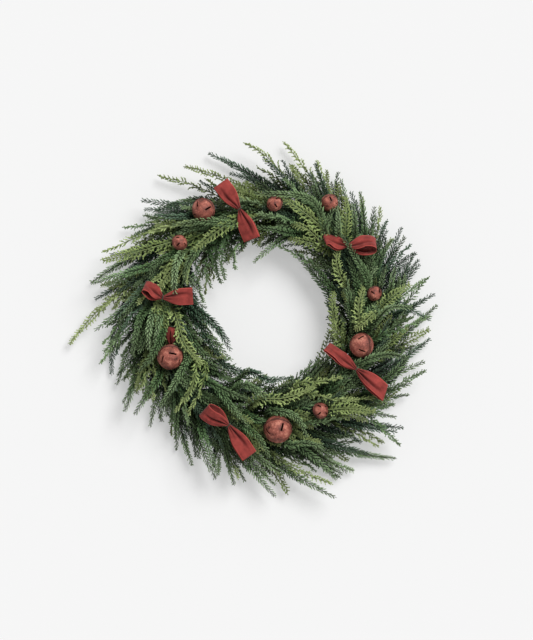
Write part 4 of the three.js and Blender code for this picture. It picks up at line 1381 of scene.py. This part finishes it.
def loop_point(across, turn, width, loop):
    """A place on one loop of a bow: how far out, how far to the side and how high, and how much painted shade
    it gets in a fold or in the gathers at the waist.

    `across` runs from -1 to 1 over the ribbon and `turn` from 0 at the waist through 0.5 at the
    end's fold to 1, back at the waist. `loop` is its swell, roll, slant and crease.
    """
    swell, roll, slant, crease = loop
    out = math.sin(math.pi * turn) ** 2
    open_share = math.sin(min(1.0, out / 0.66) * math.pi / 2)
    side = across * between(WAIST, width, open_share) / 2
    round_loop = math.sin(math.tau * turn) * (0.35 + 0.65 * math.sin(math.pi * turn))
    layer = 1 if turn < 0.5 else -1
    high = swell / 2 * round_loop + layer * RIBBON_THICKNESS
    gather = (1 - open_share) ** 1.3
    pleat = math.cos(across * math.pi * 3 + crease * 3)
    high += pleat * PLEAT_DEPTH * gather
    line = crease * (0.4 + 0.6 * open_share)
    fold = max(0.0, 1 - abs(across - line) / 0.30) ** 1.3 * math.sin(math.pi * min(1.0, out / 0.9)) ** 0.7
    high -= fold * (CREASE_DEPTH + layer * 0.9)
    high += layer * ARCH * (1 - across**2) * out
    high += noise.noise(Vector((across * 1.3, out * 2.6, crease * 9 + layer))) * CRUMPLE * out
    out *= 1 - slant * (1 + across) / 2
    tilt = math.radians(roll) * min(1.0, out * 1.6)
    place = out, side * math.cos(tilt) - high * math.sin(tilt), side * math.sin(tilt) + high * math.cos(tilt)
    # The second value is painted shade, darkest along the crease and in the gathers by the waist.
    return place, min(1.0, fold * 0.85 + gather * (0.55 - 0.45 * pleat))


def ribbon_band(knot, ends, width, loops):
    """A closed band of ribbon, flattened into two loops and pinched in the middle.

    Along the band it runs out to the first end on top, back underneath, on to the second end
    underneath and back on top.
    """
    bm = bmesh.new()
    layer = bm.loops.layers.uv.new("UVMap")
    groove = bm.verts.layers.float.new("groove")
    bmesh.ops.create_grid(bm, x_segments=RIBBON_CROSS, y_segments=RIBBON_STATIONS, size=0.5, calc_uvs=True)
    middle = np.array(knot, float)
    ways = [np.array(end, float) - middle for end in ends]
    total = 2 * sum(np.linalg.norm(way) for way in ways)
    for face in bm.faces:
        for corner in face.loops:
            uv = corner[layer].uv
            uv.x, uv.y = uv.x * width * MM, uv.y * total * MM
    level = unit((-ways[0][1], ways[0][0], 0))
    for vert in bm.verts:
        across, station = vert.co.x * 2, min(vert.co.y + 0.5, 0.999999)
        half, turn = divmod(station * 2, 1)
        half = int(half)
        way, ahead = ways[half], unit(ways[half])
        side = unit(level - ahead * (level @ ahead))
        rise = np.cross(side, ahead) * (1 if half else -1)
        if half:
            turn = 1 - turn
        (out, beside, high), vert[groove] = loop_point(across, turn, width, loops[half])
        vert.co = Vector(placed(middle + way * out + side * beside + rise * high))
    bmesh.ops.remove_doubles(bm, verts=bm.verts, dist=1e-5)
    bmesh.ops.recalc_face_normals(bm, faces=bm.faces)
    return bm, total


def add_ribbon(name, node, knot, ends, width, loops, material):
    bm, total = ribbon_band(knot, ends, width, loops)
    piece = new_piece(name, bm, [material], True)
    cloth = piece.modifiers.new("cloth", "SOLIDIFY")
    cloth.thickness, cloth.offset = RIBBON_THICKNESS * MM, 0
    hand_over(piece, "ribbon", node)


class WREATH_OT_bows(bpy.types.Operator):
    """Fold the ribbon bows and the short loop behind the bell on the left"""

    bl_idname = "wreath.bows"
    bl_label = "Ribbon bows"

    def execute(self, context):
        cloth = ribbon_material(context.scene.wreath_colours.ribbon)
        for i, (knot, ends) in enumerate(BOWS):
            add_ribbon(f"ribbon_bow_{i + 1}", f"bow_{i + 1}", knot, ends, RIBBON_WIDTH, BOW_LOOPS[i], cloth)
        knot, ends, loops = BELL_RIBBON_TAB
        add_ribbon("ribbon_behind_bell", "bell_7_ribbon", knot, ends, BELL_RIBBON_WIDTH, loops, cloth)
        return {"FINISHED"}


# ------------------------------------------------------------------ stage


def add_holder(scene, name, data, at):
    holder = bpy.data.objects.new(name, data)
    holder.location = at
    scene.collection.objects.link(holder)
    return holder


def light_sky(scene):
    """An even white sky all round."""
    scene.world = bpy.data.worlds.new("studio")
    scene.world.use_nodes = True
    sky = scene.world.node_tree.nodes["Background"].inputs
    sky["Color"].default_value = (1, 1, 1, 1)
    sky["Strength"].default_value = SKY_STRENGTH


def light_key(scene):
    """One soft light from the upper right."""
    key = bpy.data.lights.new("key", "SUN")
    key.energy, key.angle = KEY_STRENGTH, math.radians(KEY_SOFTNESS)
    holder = add_holder(scene, "key", key, KEY_FROM)
    holder.rotation_euler = (-holder.location).to_track_quat("-Z", "Y").to_euler()


def set_camera(scene):
    """A camera straight overhead that shows VIEW_HEIGHT metres at SCALE_HEIGHT."""
    camera = bpy.data.cameras.new("camera")
    camera.sensor_fit, camera.sensor_height = "VERTICAL", CAMERA_FILM
    camera.lens = CAMERA_FILM * (CAMERA_HEIGHT - SCALE_HEIGHT) / VIEW_HEIGHT
    camera.clip_end = 50
    scene.camera = add_holder(scene, "camera", camera, (*CAMERA_AT, CAMERA_HEIGHT))


class WREATH_OT_stage(bpy.types.Operator):
    """Set the pale floor, the soft lights and the camera overhead"""

    bl_idname = "wreath.stage"
    bl_label = "Stage"

    def execute(self, context):
        scene = context.scene
        bm = bmesh.new()
        bmesh.ops.create_grid(bm, x_segments=1, y_segments=1, size=FLOOR_SIZE)
        new_piece("floor", bm, [floor_material()])
        light_sky(scene)
        light_key(scene)
        set_camera(scene)
        scene.view_settings.view_transform = "Standard"
        return {"FINISHED"}


# ------------------------------------------------------------------ panel and registration


class WREATH_PT_panel(bpy.types.Panel):
    """The wreath's settings and the steps that make it."""

    bl_idname = "WREATH_PT_panel"
    bl_label = "Evergreen wreath"
    bl_space_type = "VIEW_3D"
    bl_region_type = "UI"
    bl_category = "Wreath"

    def draw(self, context):
        layout = self.layout
        for group in (context.scene.wreath_foliage, context.scene.wreath_colours):
            box = layout.box()
            for name in group.__annotations__:
                box.prop(group, name)
        for operator in STEPS:
            layout.operator(operator.bl_idname)


STEPS = (
    WREATH_OT_frame, WREATH_OT_binding, WREATH_OT_bunches, WREATH_OT_bells, WREATH_OT_balls, WREATH_OT_bows,
    WREATH_OT_stage,
)
CLASSES = (WreathFoliage, WreathColours, *STEPS, WREATH_PT_panel)


def register():
    for cls in CLASSES:
        bpy.utils.register_class(cls)
    bpy.types.Scene.wreath_foliage = PointerProperty(type=WreathFoliage)
    bpy.types.Scene.wreath_colours = PointerProperty(type=WreathColours)


def unregister():
    del bpy.types.Scene.wreath_colours
    del bpy.types.Scene.wreath_foliage
    for cls in reversed(CLASSES):
        bpy.utils.unregister_class(cls)


def main():
    register()
    bpy.ops.wreath.stage()
    bpy.ops.wreath.frame()
    bpy.ops.wreath.binding()
    bpy.ops.wreath.bunches()
    bpy.ops.wreath.bells()
    bpy.ops.wreath.balls()
    bpy.ops.wreath.bows()
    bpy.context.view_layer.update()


if __name__ == "__main__":
    main()
